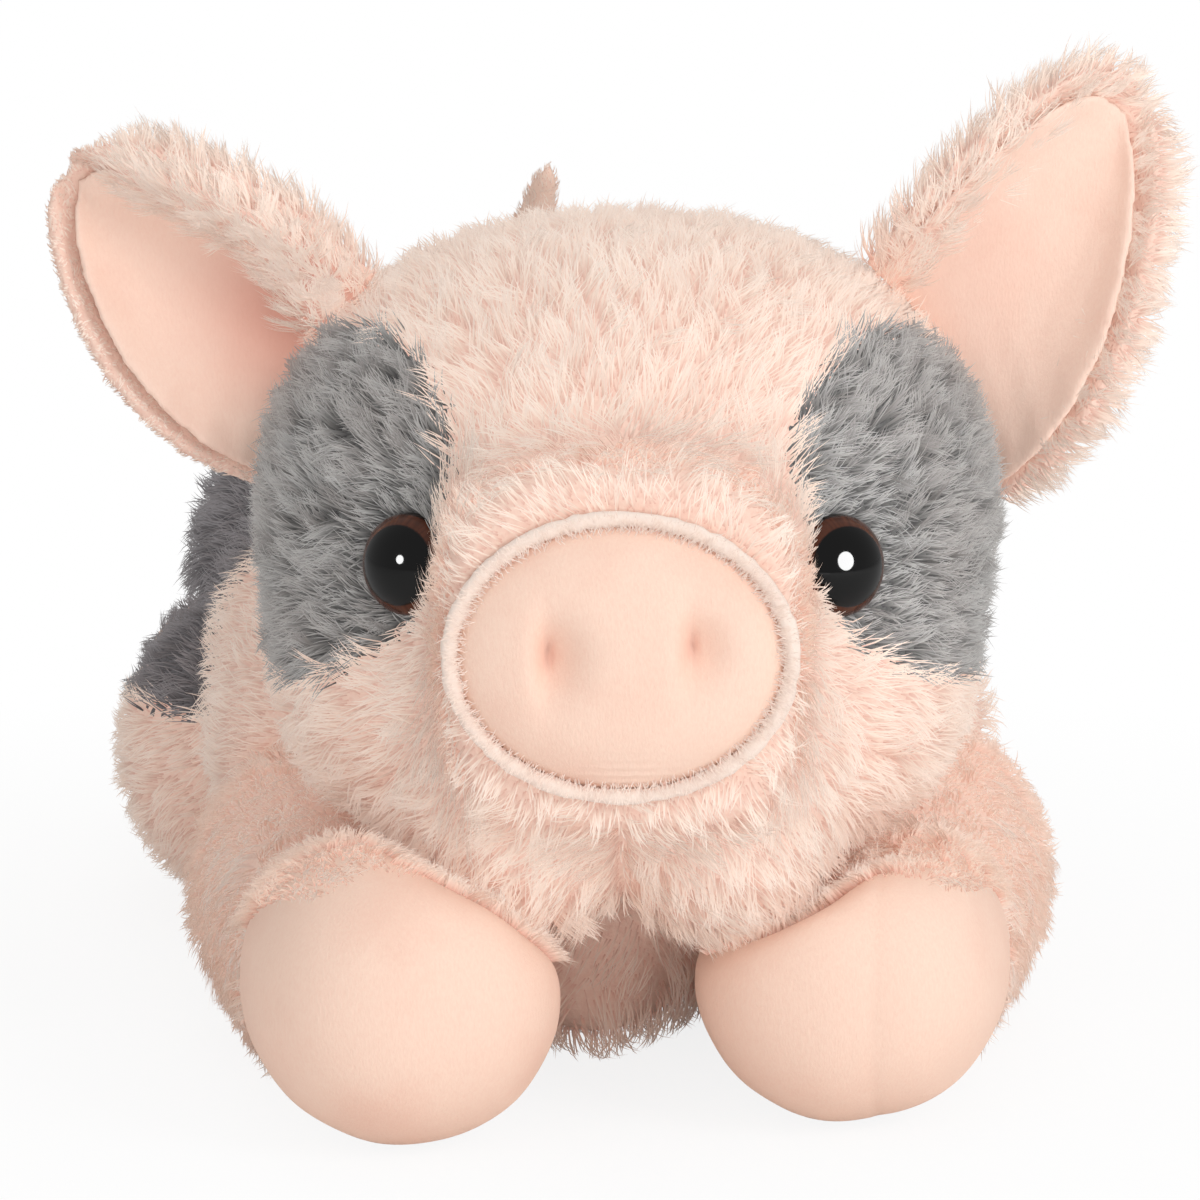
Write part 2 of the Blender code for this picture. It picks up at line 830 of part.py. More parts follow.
def make_eye(side, word, coverings, filling, head, materials):
    """The eye in its socket, with the stem through the coverings into a washer behind them."""
    direction = head_side_direction(side, eye_turn, eye_rise)
    middle, normal = seat_on(head_distance, direction, eye_radius)
    seat = Matrix.Translation(middle) @ aim_matrix(normal)
    profile = [(0, -eye_stem_length), (eye_stem_radius, -eye_stem_length), (eye_stem_radius, 0)]
    profile += [(eye_radius * radius, eye_dome_height * height) for radius, height in eye_profile_shares]
    profile.append((0, eye_dome_height))
    eye = turned(profile, 2 * small_sides)
    eye.transform(seat)
    add_object("eye_" + word, eye, materials["eye"], head)

    hole_radius = eye_stem_radius + eye_stem_clearance
    washer_top = -pile_thickness - eye_socket_depth - washer_clearance
    washer = washer_ring(washer_radius, hole_radius, washer_top - washer_thickness, washer_top)
    washer.transform(seat)
    add_object("eye_washer_" + word, washer, materials["washer"], head)

    socket_radius = eye_radius + eye_stem_clearance
    socket = elliptic_prism(socket_radius, socket_radius, -sewing_gap, eye_radius, 2 * small_sides)
    hole_bottom = washer_top - washer_clearance
    hole = elliptic_prism(hole_radius, hole_radius, hole_bottom, eye_socket_depth, small_sides)
    pocket_radius = washer_radius + washer_pocket_clearance
    depth = -eye_stem_length - washer_pocket_clearance
    pocket = elliptic_prism(pocket_radius, pocket_radius, depth, eye_radius, small_sides)
    for shape in (socket, hole, pocket):
        shape.transform(seat)
    socket = add_cutter("eye_socket_" + word, socket, head)
    hole = add_cutter("eye_hole_" + word, hole, head)
    for covering in coverings:
        cut_away(covering, socket)
    cut_away(coverings[0], hole)
    cut_away(filling, add_cutter("eye_pocket_" + word, pocket, head))


def make_snout(head, materials):
    front = Matrix.Translation((0, -muzzle_face_depth - sewing_gap, -muzzle_drop)) @ aim_matrix((0, -1, 0))
    rings = []
    for radius, edge, dome in snout_profile_shares:
        height = snout_edge_thickness * edge + snout_dome * dome
        ring = []
        for index in range(2 * small_sides):
            angle = math.pi * index / small_sides
            across = snout_half_width * radius * math.cos(angle)
            ring.append((across, snout_half_height * radius * math.sin(angle), height))
        rings.append(ring)
    top = snout_edge_thickness + snout_dome
    disc_shape = stack_rings(rings, (0, 0, 0), (0, 0, top))
    disc_shape.transform(front)
    disc = add_object("snout_disc", disc_shape, materials["velour"], head)
    for side, word in ((-1, "left"), (1, "right")):
        half_sizes = (nostril_half_width, nostril_half_height, nostril_depth)
        dimple = ellipsoid(half_sizes, (side * nostril_side, 0, top), cuts=dimple_cuts)
        dimple.transform(front)
        cut_away(disc, add_cutter("nostril_dimple_" + word, dimple, head))
        height = top - nostril_depth + sewing_gap + nostril_stitch_radius
        half = nostril_stitch_length / 2 - nostril_stitch_radius
        stitch_points = [(side * nostril_side, share * half, height) for share in (-1, 0, 1)]
        stitch = thread(stitch_points, nostril_stitch_radius)
        stitch.transform(front)
        add_object("nostril_stitch_" + word, stitch, materials["thread"], head)
    rim_rings = []
    for index in range(band_sides):
        angle = 2 * math.pi * index / band_sides
        out = Vector((math.cos(angle), math.sin(angle), 0))
        reach = sewing_gap + snout_rim_radius
        edge = Vector((snout_half_width * out.x, snout_half_height * out.y, snout_rim_radius))
        centre = edge + out * reach
        ring = []
        for step in range(thread_sides):
            turn = 2 * math.pi * step / thread_sides
            spoke = out * math.cos(turn) + Vector((0, 0, math.sin(turn)))
            ring.append(centre + spoke * snout_rim_radius)
        rim_rings.append(ring)
    rim = stack_rings(rim_rings, closed=True)
    rim.transform(front)
    add_object("snout_rim", rim, materials["seam"], head)


def make_head(materials):
    turn = Matrix.Rotation(math.radians(head_turn_at_rest), 3, "Z")
    neck = add_frame("neck_joint", (head_x, head_y, head_z), turn)
    head = add_frame("head_joint", (0, 0, 0), parent=neck)
    neck_aim = aim_matrix(neck_direction())

    rings = []
    corners = []
    start = math.radians(neck_opening_angle)
    end = math.radians(neck_band_angle)
    inner = neck_ball_radius + neck_clearance
    for step in range(band_steps + 1):
        corners.append((inner, start + (end - start) * step / band_steps))
    for step in range(band_steps, -1, -1):
        corners.append((inner + neck_band_thickness, start + (end - start) * step / band_steps))
    for reach, polar in corners:
        ring = []
        for index in range(band_sides):
            angle = 2 * math.pi * index / band_sides
            flat = reach * math.sin(polar)
            ring.append((flat * math.cos(angle), flat * math.sin(angle), reach * math.cos(polar)))
        rings.append(ring)
    band = stack_rings(rings, closed=True)
    band.transform(neck_aim)
    add_object("neck_band", band, materials["pile"], neck)

    hollow_shape = radial_form(head_distance, head_lining_cuts, inset=pile_thickness)
    hollow = add_cutter("head_hollow", hollow_shape, head)
    opening_radius = neck_ball_radius * math.sin(start)
    opening_reach = neck_ball_radius + cut_overrun
    opening_shape = elliptic_prism(opening_radius, opening_radius, 0, opening_reach, band_sides)
    opening_shape.transform(neck_aim)
    opening = add_cutter("neck_opening", opening_shape, head)
    reach = muzzle_half_width + cut_overrun
    front_low = (-reach, -muzzle_face_depth - 2 * cut_overrun, -reach)
    front_shape = box(front_low, (reach, -muzzle_face_depth, reach))
    front = add_cutter("muzzle_front", front_shape, head)

    skin = add_object("head_skin", radial_form(head_distance, head_cuts), materials["pile"], head)
    cut_away(skin, front, hollow, opening)
    inset = pile_thickness + filling_clearance
    filling_form = radial_form(head_distance, head_lining_cuts, inset=inset)
    filling = add_object("head_filling", filling_form, materials["fibre"], head)
    cut_away(filling, front)

    for side, word in ((-1, "left"), (1, "right")):
        aim = aim_matrix(head_side_direction(side, eye_panel_turn, eye_panel_rise))
        reach = neck_ball_radius + cut_overrun
        sizes = (eye_panel_half_width, eye_panel_half_height)
        panel_prism = elliptic_prism(*sizes, cut_overrun, reach, 2 * small_sides)
        panel_prism.transform(aim)
        hole_sizes = [size + sewing_gap for size in sizes]
        hole_prism = elliptic_prism(*hole_sizes, cut_overrun, reach, 2 * small_sides)
        hole_prism.transform(aim)
        panel_form = radial_form(head_distance, head_cuts)
        panel = add_object("eye_panel_" + word, panel_form, materials["grey_pile"], head)
        keep_within(panel, add_cutter("eye_panel_outline_" + word, panel_prism, head))
        cut_away(panel, hollow)
        cut_away(skin, add_cutter("eye_panel_hole_" + word, hole_prism, head))
        make_eye(side, word, (panel, skin), filling, head, materials)
    make_snout(head, materials)

    form = radial_form(head_distance, head_cuts)
    add_object("chin_seam", seam_over(form, chin_seam_angles, -1), materials["thread"], head)

    make_ear(-1, "left", (ear_length_left, ear_half_width_left, ear_skew_left), head, materials)
    make_ear(1, "right", (ear_length_right, ear_half_width_right, ear_skew_right), head, materials)


def make_limbs():
    front_sizes = (
        front_root_radius,
        front_span,
        front_wrist_radius,
        front_hoof_radius,
        front_hoof_reach,
        front_hoof_tip,
    )
    hind_sizes = (
        hind_root_radius,
        hind_span,
        hind_wrist_radius,
        hind_hoof_radius,
        hind_hoof_reach,
        hind_hoof_tip,
    )
    limbs = []
    for side, word, turn in ((-1, "left", front_turn_left), (1, "right", front_turn_right)):
        root = (side * front_root_side + front_root_shift, front_root_y, limb_lift(front_root_radius))
        limbs.append(Limb("front_" + word, root, turn, front_sizes, side))
    for side, word in ((-1, "left"), (1, "right")):
        root = (side * hind_root_side, hind_root_y, limb_lift(hind_root_radius))
        limbs.append(Limb("hind_" + word, root, 180 - side * hind_turn, hind_sizes, -side))
    return limbs


def make_limb(limb, lowest, materials):
    """Sleeve, hoof and fillings on the root joint, and the hollows that the limb swings in."""
    root = add_frame(limb.name + "_leg_joint", limb.root)
    ceiling = swung_ceiling(limb, lowest) if lowest else None
    kind, word = limb.name.split("_")
    pieces = (
        ("leg_sleeve", sleeve_shape, "pile"),
        ("hoof", hoof_shape, "velour"),
        ("leg_filling", sleeve_filling_shape, "fibre"),
        ("hoof_pellets", hoof_filling_shape, "pellets"),
    )
    for piece, build, material in pieces:
        add_object("_".join((kind, piece, word)), build(limb, ceiling), materials[material], root)
    return add_cutter(limb.name + "_leg_hollow", limb_hollow(limb), root)


def settled_height():
    """Height of the torso's middle that puts its lowest point just under the floor's level."""
    shape = radial_form(torso_distance, torso_cuts, torso_stretch_shares)
    lowest = min(vert.co.z for vert in shape.verts)
    shape.free()
    return -lowest - floor_flat_depth


def make_tail(torso_place, materials):
    direction = (tail_root_x - torso_x, tail_y - torso_y, tail_aim_rise)
    seat = surface_point(torso_distance, direction, sewing_gap + tail_root_radius)
    root = add_frame("tail_joint", Vector(torso_place) + Vector(seat))
    rings = []
    for length_share, radius_share in zip(tail_length_shares, tail_radius_shares):
        radius = tail_root_radius * radius_share
        curl = tail_curl * math.sin(math.pi * max(length_share, 0))
        middle = Vector((tail_lean * length_share, curl, tail_length * length_share))
        ring = []
        for index in range(small_sides):
            angle = 2 * math.pi * index / small_sides
            ring.append(middle + Vector((radius * math.cos(angle), radius * math.sin(angle), 0)))
        rings.append(ring)
    tail = stack_rings(rings, (0, 0, -tail_root_radius), (tail_lean, 0, tail_length))
    add_object("tail", tail, materials["ear_velour"], root)


def make_torso(hollows, materials):
    place = (torso_x, torso_y, settled_height())
    torso = add_frame("torso_frame", place)
    dish_shape = ellipsoid([neck_dish_radius()] * 3, cuts=head_cuts)
    dish = add_cutter("neck_dish", dish_shape, bpy.data.objects["neck_joint"])
    reach = shoulder_half_width + belly_half_width + rump_half_depth
    floor = add_cutter("floor_level", box((-reach, -reach, -cut_overrun), (reach, 2 * reach, 0)), None)
    form = radial_form(torso_distance, torso_lining_cuts, torso_stretch_shares, pile_thickness)
    hollow = add_cutter("torso_hollow", form, torso)
    saddle_sizes = (saddle_half_width, saddle_half_depth, saddle_half_height)
    outline_shape = ellipsoid(saddle_sizes, (0, saddle_y, saddle_z), cuts=head_cuts)
    outline = add_cutter("saddle_outline", outline_shape, None)
    hole_sizes = [size + 2 * sewing_gap for size in saddle_sizes]
    hole_shape = ellipsoid(hole_sizes, (0, saddle_y, saddle_z), cuts=head_cuts)
    saddle_hole = add_cutter("saddle_hole", hole_shape, None)

    skin_form = radial_form(torso_distance, torso_cuts, torso_stretch_shares)
    skin = add_object("torso_skin", skin_form, materials["pile"], torso)
    cut_away(skin, floor, hollow, dish, *hollows, saddle_hole)
    saddle_form = radial_form(torso_distance, torso_cuts, torso_stretch_shares)
    saddle = add_object("saddle_panel", saddle_form, materials["grey_pile"], torso)
    keep_within(saddle, outline)
    cut_away(saddle, hollow)
    cut_away(saddle, *hollows, solver="MANIFOLD")

    bag_floor = pile_thickness + filling_clearance + pellet_bag_lift
    bag_sizes = (pellet_bag_half_width, pellet_bag_half_depth, pellet_bag_half_height)
    bag_place = (torso_x, pellet_bag_y, bag_floor + pellet_bag_half_height / 2)
    bag_shape = ellipsoid(bag_sizes, bag_place)
    for vert in bag_shape.verts:
        vert.co.z = max(vert.co.z, bag_floor)
    add_object("torso_pellet_bag", bag_shape, materials["pellets"], None)
    pocket_sizes = [size + 2 * sewing_gap for size in bag_sizes]
    pocket = add_cutter("pellet_bag_pocket", ellipsoid(pocket_sizes, bag_place), None)
    inset = pile_thickness + filling_clearance
    filling_form = radial_form(torso_distance, torso_lining_cuts, torso_stretch_shares, inset)
    filling = add_object("torso_filling", filling_form, materials["fibre"], torso)
    cut_away(filling, dish, *hollows, pocket)

    form = radial_form(torso_distance, torso_cuts, torso_stretch_shares)
    add_object("closing_seam", seam_over(form, closing_seam_angles, 1), materials["thread"], torso)
    make_tail(place, materials)


def main():
    clear_scene()
    materials = {
        "pile": make_material("pink_pile", (0.93, 0.72, 0.64), 0.95),
        "grey_pile": make_material("grey_pile", (0.27, 0.27, 0.29), 0.95),
        "velour": make_material("pink_velour", (0.95, 0.74, 0.63), 0.85),
        "ear_velour": make_material("ear_velour", (0.88, 0.55, 0.46), 0.85),
        "seam": make_material("snout_seam", (0.85, 0.75, 0.69), 0.90),
        "thread": make_material("thread", (0.80, 0.58, 0.52), 0.80),
        "eye": make_material("eye_plastic", (0.02, 0.014, 0.012), 0.08),
        "washer": make_material("washer_plastic", (0.85, 0.85, 0.82), 0.45),
        "fibre": make_material("polyester_fibre", (0.90, 0.90, 0.88), 1.0),
        "pellets": make_material("pellet_bag", (0.80, 0.80, 0.78), 0.70),
    }
    make_head(materials)
    lowest = head_underside()
    hollows = []
    for limb in make_limbs():
        hollows.append(make_limb(limb, lowest if limb.name.startswith("front") else None, materials))
    make_torso(hollows, materials)


main()
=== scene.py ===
"""Looks of a plush pig that lies on its belly: long pile, a velour snout, ears and hooves, and plastic eyes.

Lengths are in metres and angles in degrees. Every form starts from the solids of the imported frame.
"""

import json
import math

import bmesh
import bpy
import numpy as np
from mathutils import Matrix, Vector
from mathutils.bvhtree import BVHTree
from mathutils.kdtree import KDTree


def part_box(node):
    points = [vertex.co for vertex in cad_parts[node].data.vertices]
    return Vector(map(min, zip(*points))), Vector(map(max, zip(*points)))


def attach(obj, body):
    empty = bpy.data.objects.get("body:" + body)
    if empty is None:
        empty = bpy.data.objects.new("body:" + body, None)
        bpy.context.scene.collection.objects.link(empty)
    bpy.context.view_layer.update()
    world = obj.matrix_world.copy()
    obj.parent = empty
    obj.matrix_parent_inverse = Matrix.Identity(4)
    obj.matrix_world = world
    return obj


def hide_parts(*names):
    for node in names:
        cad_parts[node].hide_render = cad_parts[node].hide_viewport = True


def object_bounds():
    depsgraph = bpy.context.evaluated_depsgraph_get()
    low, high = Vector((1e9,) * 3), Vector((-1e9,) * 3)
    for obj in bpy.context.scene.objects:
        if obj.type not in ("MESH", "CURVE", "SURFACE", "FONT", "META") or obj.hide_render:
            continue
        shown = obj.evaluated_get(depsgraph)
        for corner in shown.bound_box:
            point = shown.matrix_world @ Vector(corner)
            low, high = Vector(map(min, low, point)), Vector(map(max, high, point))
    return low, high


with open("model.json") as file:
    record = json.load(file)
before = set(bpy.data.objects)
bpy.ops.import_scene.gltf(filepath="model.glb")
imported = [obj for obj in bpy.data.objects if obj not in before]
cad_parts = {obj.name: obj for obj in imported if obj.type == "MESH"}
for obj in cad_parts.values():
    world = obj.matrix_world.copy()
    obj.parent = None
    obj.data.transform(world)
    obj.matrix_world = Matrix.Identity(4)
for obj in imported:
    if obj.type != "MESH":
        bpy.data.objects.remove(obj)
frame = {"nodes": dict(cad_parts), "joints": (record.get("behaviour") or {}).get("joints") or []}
cad_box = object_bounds()
sides = ("left", "right")

# Camera, as it stood for the photograph
camera_azimuth = -8.0
camera_elevation = 11.0
camera_target = (-0.0070, -0.1003, 0.0830)
camera_distance = 0.9000
camera_lens_mm = 174.0

# Stage and lamps
floor_size = 6.0
floor_fade_start = 0.05
floor_fade_end = 0.24
floor_white_share = 0.84
floor_grey = 0.93
world_strength = 0.54
# the place, the size and the power of each lamp
lamps = {
    "key": ((0.75, -1.00, 0.75), 0.60, 6.2),
    "fill": ((-0.80, -0.95, 0.55), 0.90, 1.1),
    "low": ((-0.05, -1.30, 0.09), 0.50, 3.4),
    "top": ((0.10, 0.45, 1.20), 1.00, 3.0),
}
catch_light_away = 1.0
catch_light_radii = {"left": 0.11, "right": 0.24}
catch_light_lean = 0.30
catch_light_rise = 0.10
catch_light_strength = 40.0

# Smooth forms made from the solids
body_voxel = 0.0016
hoof_voxel = 0.0012
thin_voxel = 0.0007
body_rounds = 14
sleeve_rounds = 26
hoof_rounds = 60
thin_rounds = 6
tail_rounds = 10
torso_voxel = 1.25 * body_voxel
neck_voxel = 0.0009
neck_rounds = 6
smooth_factor = 0.5
skin_ray_start = 0.0002
weld_gap = 0.00001
tunnel_width = 0.0080

# Fur
fur_length = 0.0072
muzzle_fur_length = 0.0046
muzzle_fur_reach = 0.0120
eye_fur_length = 0.0030
eye_fur_growth = 0.55
ear_fur_length = 0.0068
ear_curl_reach = 0.0180
ear_curl = {"left": 0.55, "right": 0.0}
ear_spread = 1.1
ear_slope = {"left": 0.20, "right": 0.50}
ear_edge_length = {"left": 0.0012, "right": 0.0060}
ear_roll = {"left": 0.0050, "right": 0.0020}
ear_roll_edge = {"left": (0.0070, 0.0150), "right": (0.0160, 0.0215)}
ear_roll_ease = 0.0030
ear_full_fur = 0.0060
ear_tip_near = 0.0360
ear_tip_far = 0.0480
# Painted shade on each ear's lining near its root, much deeper on the left ear
ear_painted_shade = {"left": 0.80, "right": 0.16}
ear_painted_shade_place = 0.0060
ear_painted_shade_reach = 0.0170
roll_strands = {"left": 30000, "right": 20000}
ear_roll_slope = 0.20
ear_roll_inward = 0.25
ear_painted_shade_edges = (-0.016, 0.004)
lining_gap = 0.0012
lining_facing = 0.2
roll_edge_shares = (0.25, 0.5)
roll_back_facing = 0.3
tail_fur_length = 0.0019
tail_strand_width = 0.00018
neck_fur_length = 0.0060
strand_width = 0.00024
strand_levels = (0.0, 0.42, 0.76, 1.0)
strand_width_shares = (1.0, 0.85, 0.55, 0.0)
strands_in_tuft = 16
tuft_pull = 0.42
tuft_spread = 0.42
strand_sway = 0.10
strand_thickness = 0.00004
upside_shares = (0.55, 0.45)
underside_shares = (0.50, 0.62)
strands_in_piece = 19000
strand_reach = (0.82, 1.12)
tuft_reach = (0.85, 1.10)
strand_widths = (0.70, 1.25)
gather_reach = (0.4, 1.0)
bend_gather = 0.25
shading_lean = 0.30
shading_noise = 0.10
crowd_facing = 0.3
ground_facing = -0.5
hidden_head_reach = 0.06
rise_shares = (0.42, 0.50)
lean_shares = (0.20, 0.82)
floor_skin = 0.0003
crowded_gap = 0.0025
crowded_share = 0.45
parting_width = 0.0070
parting_share = 0.9
sleeve_fur_length = 0.0058
sleeve_droop = 0.35
neck_comb_lean = np.array((0, 0.6, 0.3))
head_droop = 0.8
head_grey_share = 0.16
head_edge_blur = 0.0008
grey_dark_tuft = 0.64
saddle_dark_tuft = 0.72
# Lighter tufts on the front sleeves: part of their painted light
sleeve_dark_tuft = 0.95
eye_bare_share = 0.47

head_pink_strands = 64000
head_grey_strands = 19000
torso_pink_strands = 36000
torso_grey_strands = 20000
front_sleeve_strands = 15000
hind_sleeve_strands = 13000
ear_strands = 14000
tail_strands = 2500
neck_strands = 5000
density = 1.0

# Snout
snout_puff = 0.0012
snout_edge_power = 2.6
snout_roundness = 0.62
snout_rings = 44
snout_sides = 120
dimple_side = 0.0108
dimple_rises = (0.0006, 0.0020)
dimple_depth = 0.0042
dimple_half_width = (0.0018, 0.0050)
dimple_half_height = 0.0058
slit_depth = 0.0009
slit_half_width = 0.0005
slit_half_height = 0.0024
fold_low = 0.0165
fold_pitch = 0.0013
fold_depth = 0.00016
fold_half_width = 0.0100
rim_radius = 0.0012
rim_sides = 14
pad_overlap = 0.0003
# Needle marks: painted shade in the needle holes round the pad
needle_marks = 74
needle_mark_length = 0.0010
needle_mark_lengths = (0.6, 1.3)
needle_mark_width = 0.00034
fuzz_strands = 2600
fuzz_length = 0.0022
fuzz_lengths = (0.4, 1.2)
fuzz_width = 0.00013
fuzz_rise = 0.7
fuzz_spread = 0.0007
needle_spread = 0.0001
seam_turn = 0.02
seam_sway = 0.5
seam_front = 1.6
rim_wobble = 0.00012
# Painted shade in the nostrils: over each dimple and in each slit
nostril_painted_shade = 0.12
slit_painted_shade = 0.4

# Hooves
hoof_seam_depth = {"left": 0.0, "right": 0.0003}
hoof_seam_half_width = 0.0007
hoof_seam_shift = 0.0050
hoof_valley_depth = {"left": 0.0003, "right": 0.0008}
hoof_valley_half_width = 0.0050
hoof_front_percents = (35, 80)
cuff_reach_top = {"front": 0.0330, "hind": 0.0150}
cuff_reach_side = {"front": 0.0020, "hind": 0.0}
cuff_slope = (0.20, 0.80)
cuff_ragged = 0.0010
cuff_strands = 20000
cuff_fur_length = 0.0052
cuff_droop = 0.2

# Chest and saddle
saddle_margin = 0.0060
saddle_edge_blur = 0.0010
saddle_share = 0.28
hip_grey_drop = 0.014
hip_grey_blur = 0.0012
hip_grey_behind = (0.030, 0.045)
hip_grey_rise = 0.020
torso_droop = 0.35
chest_droop = 0.5
chest_facing = 0.5
chest_sink = 0.5
chest_rise = 0.0320
chest_back = 0.0300
chest_fur_length = 0.0085
chest_bulge = 0.0240
chest_open_way = np.array((0.0, -1.5, 1.0))
chest_bulge_x = -0.0030
chest_bulge_half_width = 0.0170

# Eyes
eye_rings = 24
eye_sides = 64
pupil_share = 0.76
iris_share = 0.95
eye_lean = 0.70
eye_back_share = 0.6
eye_stem_share = 0.367


def linear(red, green, blue):
    """A colour as it is read off a screen, turned to the linear values that shaders take."""
    values = []
    for value in (red, green, blue):
        share = value / 255
        values.append(share / 12.92 if share <= 0.04045 else ((share + 0.055) / 1.055) ** 2.4)
    return (*values, 1.0)


white = (1, 1, 1, 1)
# Pile colours from tip to root; the darker roots are partly the pile's own colour and partly painted shade
pink_tip = linear(255, 240, 228)
pink_middle = linear(252, 227, 210)
pink_root = linear(236, 186, 168)
# A paler copy of the pink fur for the front sleeves: painted light that lifts them out of their shade
sleeve_middle = linear(254, 234, 220)
sleeve_root = linear(247, 210, 194)
grey_tip = linear(200, 199, 197)
grey_middle = linear(130, 129, 127)
grey_root = linear(50, 49, 50)
saddle_tip = linear(158, 155, 157)
saddle_middle = linear(118, 115, 117)
saddle_root = linear(62, 59, 62)
velour_light = linear(248, 216, 197)
velour_deep = linear(238, 190, 170)
ear_light = linear(250, 218, 200)
ear_deep = linear(240, 195, 176)
rim_light = linear(246, 229, 217)
rim_deep = linear(232, 206, 193)
iris_colour = linear(92, 50, 33)
iris_deep = linear(46, 24, 17)
pupil_colour = linear(5, 5, 6)
thread_colour = linear(214, 160, 144)
washer_deep = linear(220, 218, 210)
washer_light = linear(235, 233, 226)
fibre_deep = linear(214, 212, 206)
fibre_light = linear(250, 249, 246)
# Painted shade: the deep pink that the velour blends to in the nostrils and near the ears' roots
painted_shade_colour = linear(214, 148, 130)
# Painted shade of the needle holes
needle_hole_shade_colour = linear(228, 188, 172)


# Materials


def new_material(name, roughness):
    material = bpy.data.materials.new(name)
    material.use_nodes = True
    shader = material.node_tree.nodes["Principled BSDF"]
    shader.inputs["Roughness"].default_value = roughness
    return material, material.node_tree, shader


def add_node(tree, kind, settings=None, **sockets):
    """Adds a node; a socket is given as a value or as the output that feeds it."""
    item = tree.nodes.new(kind)
    for key, value in (settings or {}).items():
        setattr(item, key, value)
    for key, value in sockets.items():
        socket = item.inputs[key.replace("_", " ")]
        if isinstance(value, bpy.types.NodeSocket):
            tree.links.new(value, socket)
        else:
            socket.default_value = value
    return item


def ramp(tree, factor, stops):
    item = add_node(tree, "ShaderNodeValToRGB", Fac=factor)
    points = item.color_ramp.elements
    while len(points) < len(stops):
        points.new(1.0)
    for point, (place, colour) in zip(points, stops):
        point.position = place
        point.color = colour
    return item.outputs["Color"]


def mix(tree, factor, first, second, kind="MIX"):
    item = tree.nodes.new("ShaderNodeMix")
    item.data_type = "RGBA"
    item.blend_type = kind
    for socket, value in ((item.inputs[0], factor), (item.inputs[6], first), (item.inputs[7], second)):
        if isinstance(value, bpy.types.NodeSocket):
            tree.links.new(value, socket)
        else:
            socket.default_value = value
    return item.outputs[2]


def noise(tree, scale, detail=3.0, roughness=0.55, place=None):
    place = place or add_node(tree, "ShaderNodeTexCoord").outputs["Object"]
    item = add_node(tree, "ShaderNodeTexNoise", Vector=place, Scale=scale, Detail=detail, Roughness=roughness)
    return item.outputs["Fac"]


def add_bump(tree, shader, height, strength, distance):
    item = add_node(tree, "ShaderNodeBump", Strength=strength, Distance=distance, Height=height)
    tree.links.new(item.outputs["Normal"], shader.inputs["Normal"])


def soften(shader, sheen, roughness, tint):
    shader.inputs["Sheen Weight"].default_value = sheen
    shader.inputs["Sheen Roughness"].default_value = roughness
    shader.inputs["Sheen Tint"].default_value = tint
    shader.inputs["Specular IOR Level"].default_value = 0.25


def fur_material(name, root, middle, tip, dark_tuft=0.92):
    """Colour runs from root to tip, and differs by tuft, by strand and over wide patches."""
    material, tree, shader = new_material(name, 0.62)
    strand = add_node(tree, "ShaderNodeAttribute", {"attribute_name": "strand"})
    parts = add_node(tree, "ShaderNodeSeparateColor", Color=strand.outputs["Color"])
    # Root to tip: partly the pile's own colour, partly painted shade deep in the pile, where strands cast no
    # shadow
    along = ramp(tree, parts.outputs["Red"], ((0.0, root), (0.45, middle), (1.0, tip)))
    dark = (dark_tuft, 0.97 * dark_tuft, 0.96 * dark_tuft, 1)
    tuft = ramp(tree, parts.outputs["Green"], ((0.0, dark), (0.5, white)))
    single = ramp(tree, parts.outputs["Blue"], ((0.0, (0.94, 0.91, 0.90, 1)), (0.6, white)))
    patch = ramp(tree, noise(tree, scale=34.0, detail=2.0), ((0.35, (0.98, 0.95, 0.94, 1)), (0.62, white)))
    colour = mix(tree, 1.0, mix(tree, 1.0, along, tuft, "MULTIPLY"), single, "MULTIPLY")
    colour = mix(tree, 1.0, colour, patch, "MULTIPLY")
    tree.links.new(colour, shader.inputs["Base Color"])
    soften(shader, sheen=0.50, roughness=0.45, tint=tip)
    return material


def cloth_material(name, light, deep):
    """The knitted backing under the fur."""
    material, tree, shader = new_material(name, 0.95)
    loops = noise(tree, scale=900.0, detail=4.0)
    tree.links.new(mix(tree, loops, deep, light), shader.inputs["Base Color"])
    add_bump(tree, shader, loops, strength=0.6, distance=0.0006)
    soften(shader, sheen=0.2, roughness=0.5, tint=light)
    return material


def velour_material(name, light, deep, patch_scale=42.0, with_painted_shade=False):
    """Short nap: brushed patches, a grain of fibres, a soft sheen and, where asked, a painted shade kept on
    the piece's points.
    """
    material, tree, shader = new_material(name, 0.88)
    place = add_node(tree, "ShaderNodeTexCoord")
    stretched = add_node(tree, "ShaderNodeMapping", Vector=place.outputs["Object"], Scale=(1.0, 1.0, 0.35))
    lengthwise = stretched.outputs["Vector"]
    nap = noise(tree, scale=2600.0, detail=4.0, roughness=0.7, place=lengthwise)
    brushed = noise(tree, patch_scale)
    middle = tuple((first + second) / 2 for first, second in zip(light, deep))
    base = ramp(tree, brushed, ((0.32, middle), (0.52, light)))
    grain = ramp(tree, nap, ((0.30, deep), (0.62, light)))
    colour = mix(tree, 0.30, base, grain)
    if with_painted_shade:
        # Painted shade, read from each point of the piece
        painted_shade_share = add_node(tree, "ShaderNodeAttribute", {"attribute_name": "shade"})
        colour = mix(tree, painted_shade_share.outputs["Fac"], colour, painted_shade_colour)
    tree.links.new(colour, shader.inputs["Base Color"])
    height = mix(tree, 0.35, nap, noise(tree, scale=420.0))
    add_bump(tree, shader, height, strength=0.55, distance=0.00035)
    soften(shader, sheen=0.55, roughness=0.35, tint=light)
    return material


def grained_material(name, roughness, pattern, low, high, strength, distance):
    """Two colours that a pattern blends, with a bump of the same pattern."""
    material, tree, shader = new_material(name, roughness)
    grain = pattern(tree)
    tree.links.new(mix(tree, grain, low, high), shader.inputs["Base Color"])
    add_bump(tree, shader, grain, strength, distance)
    return material


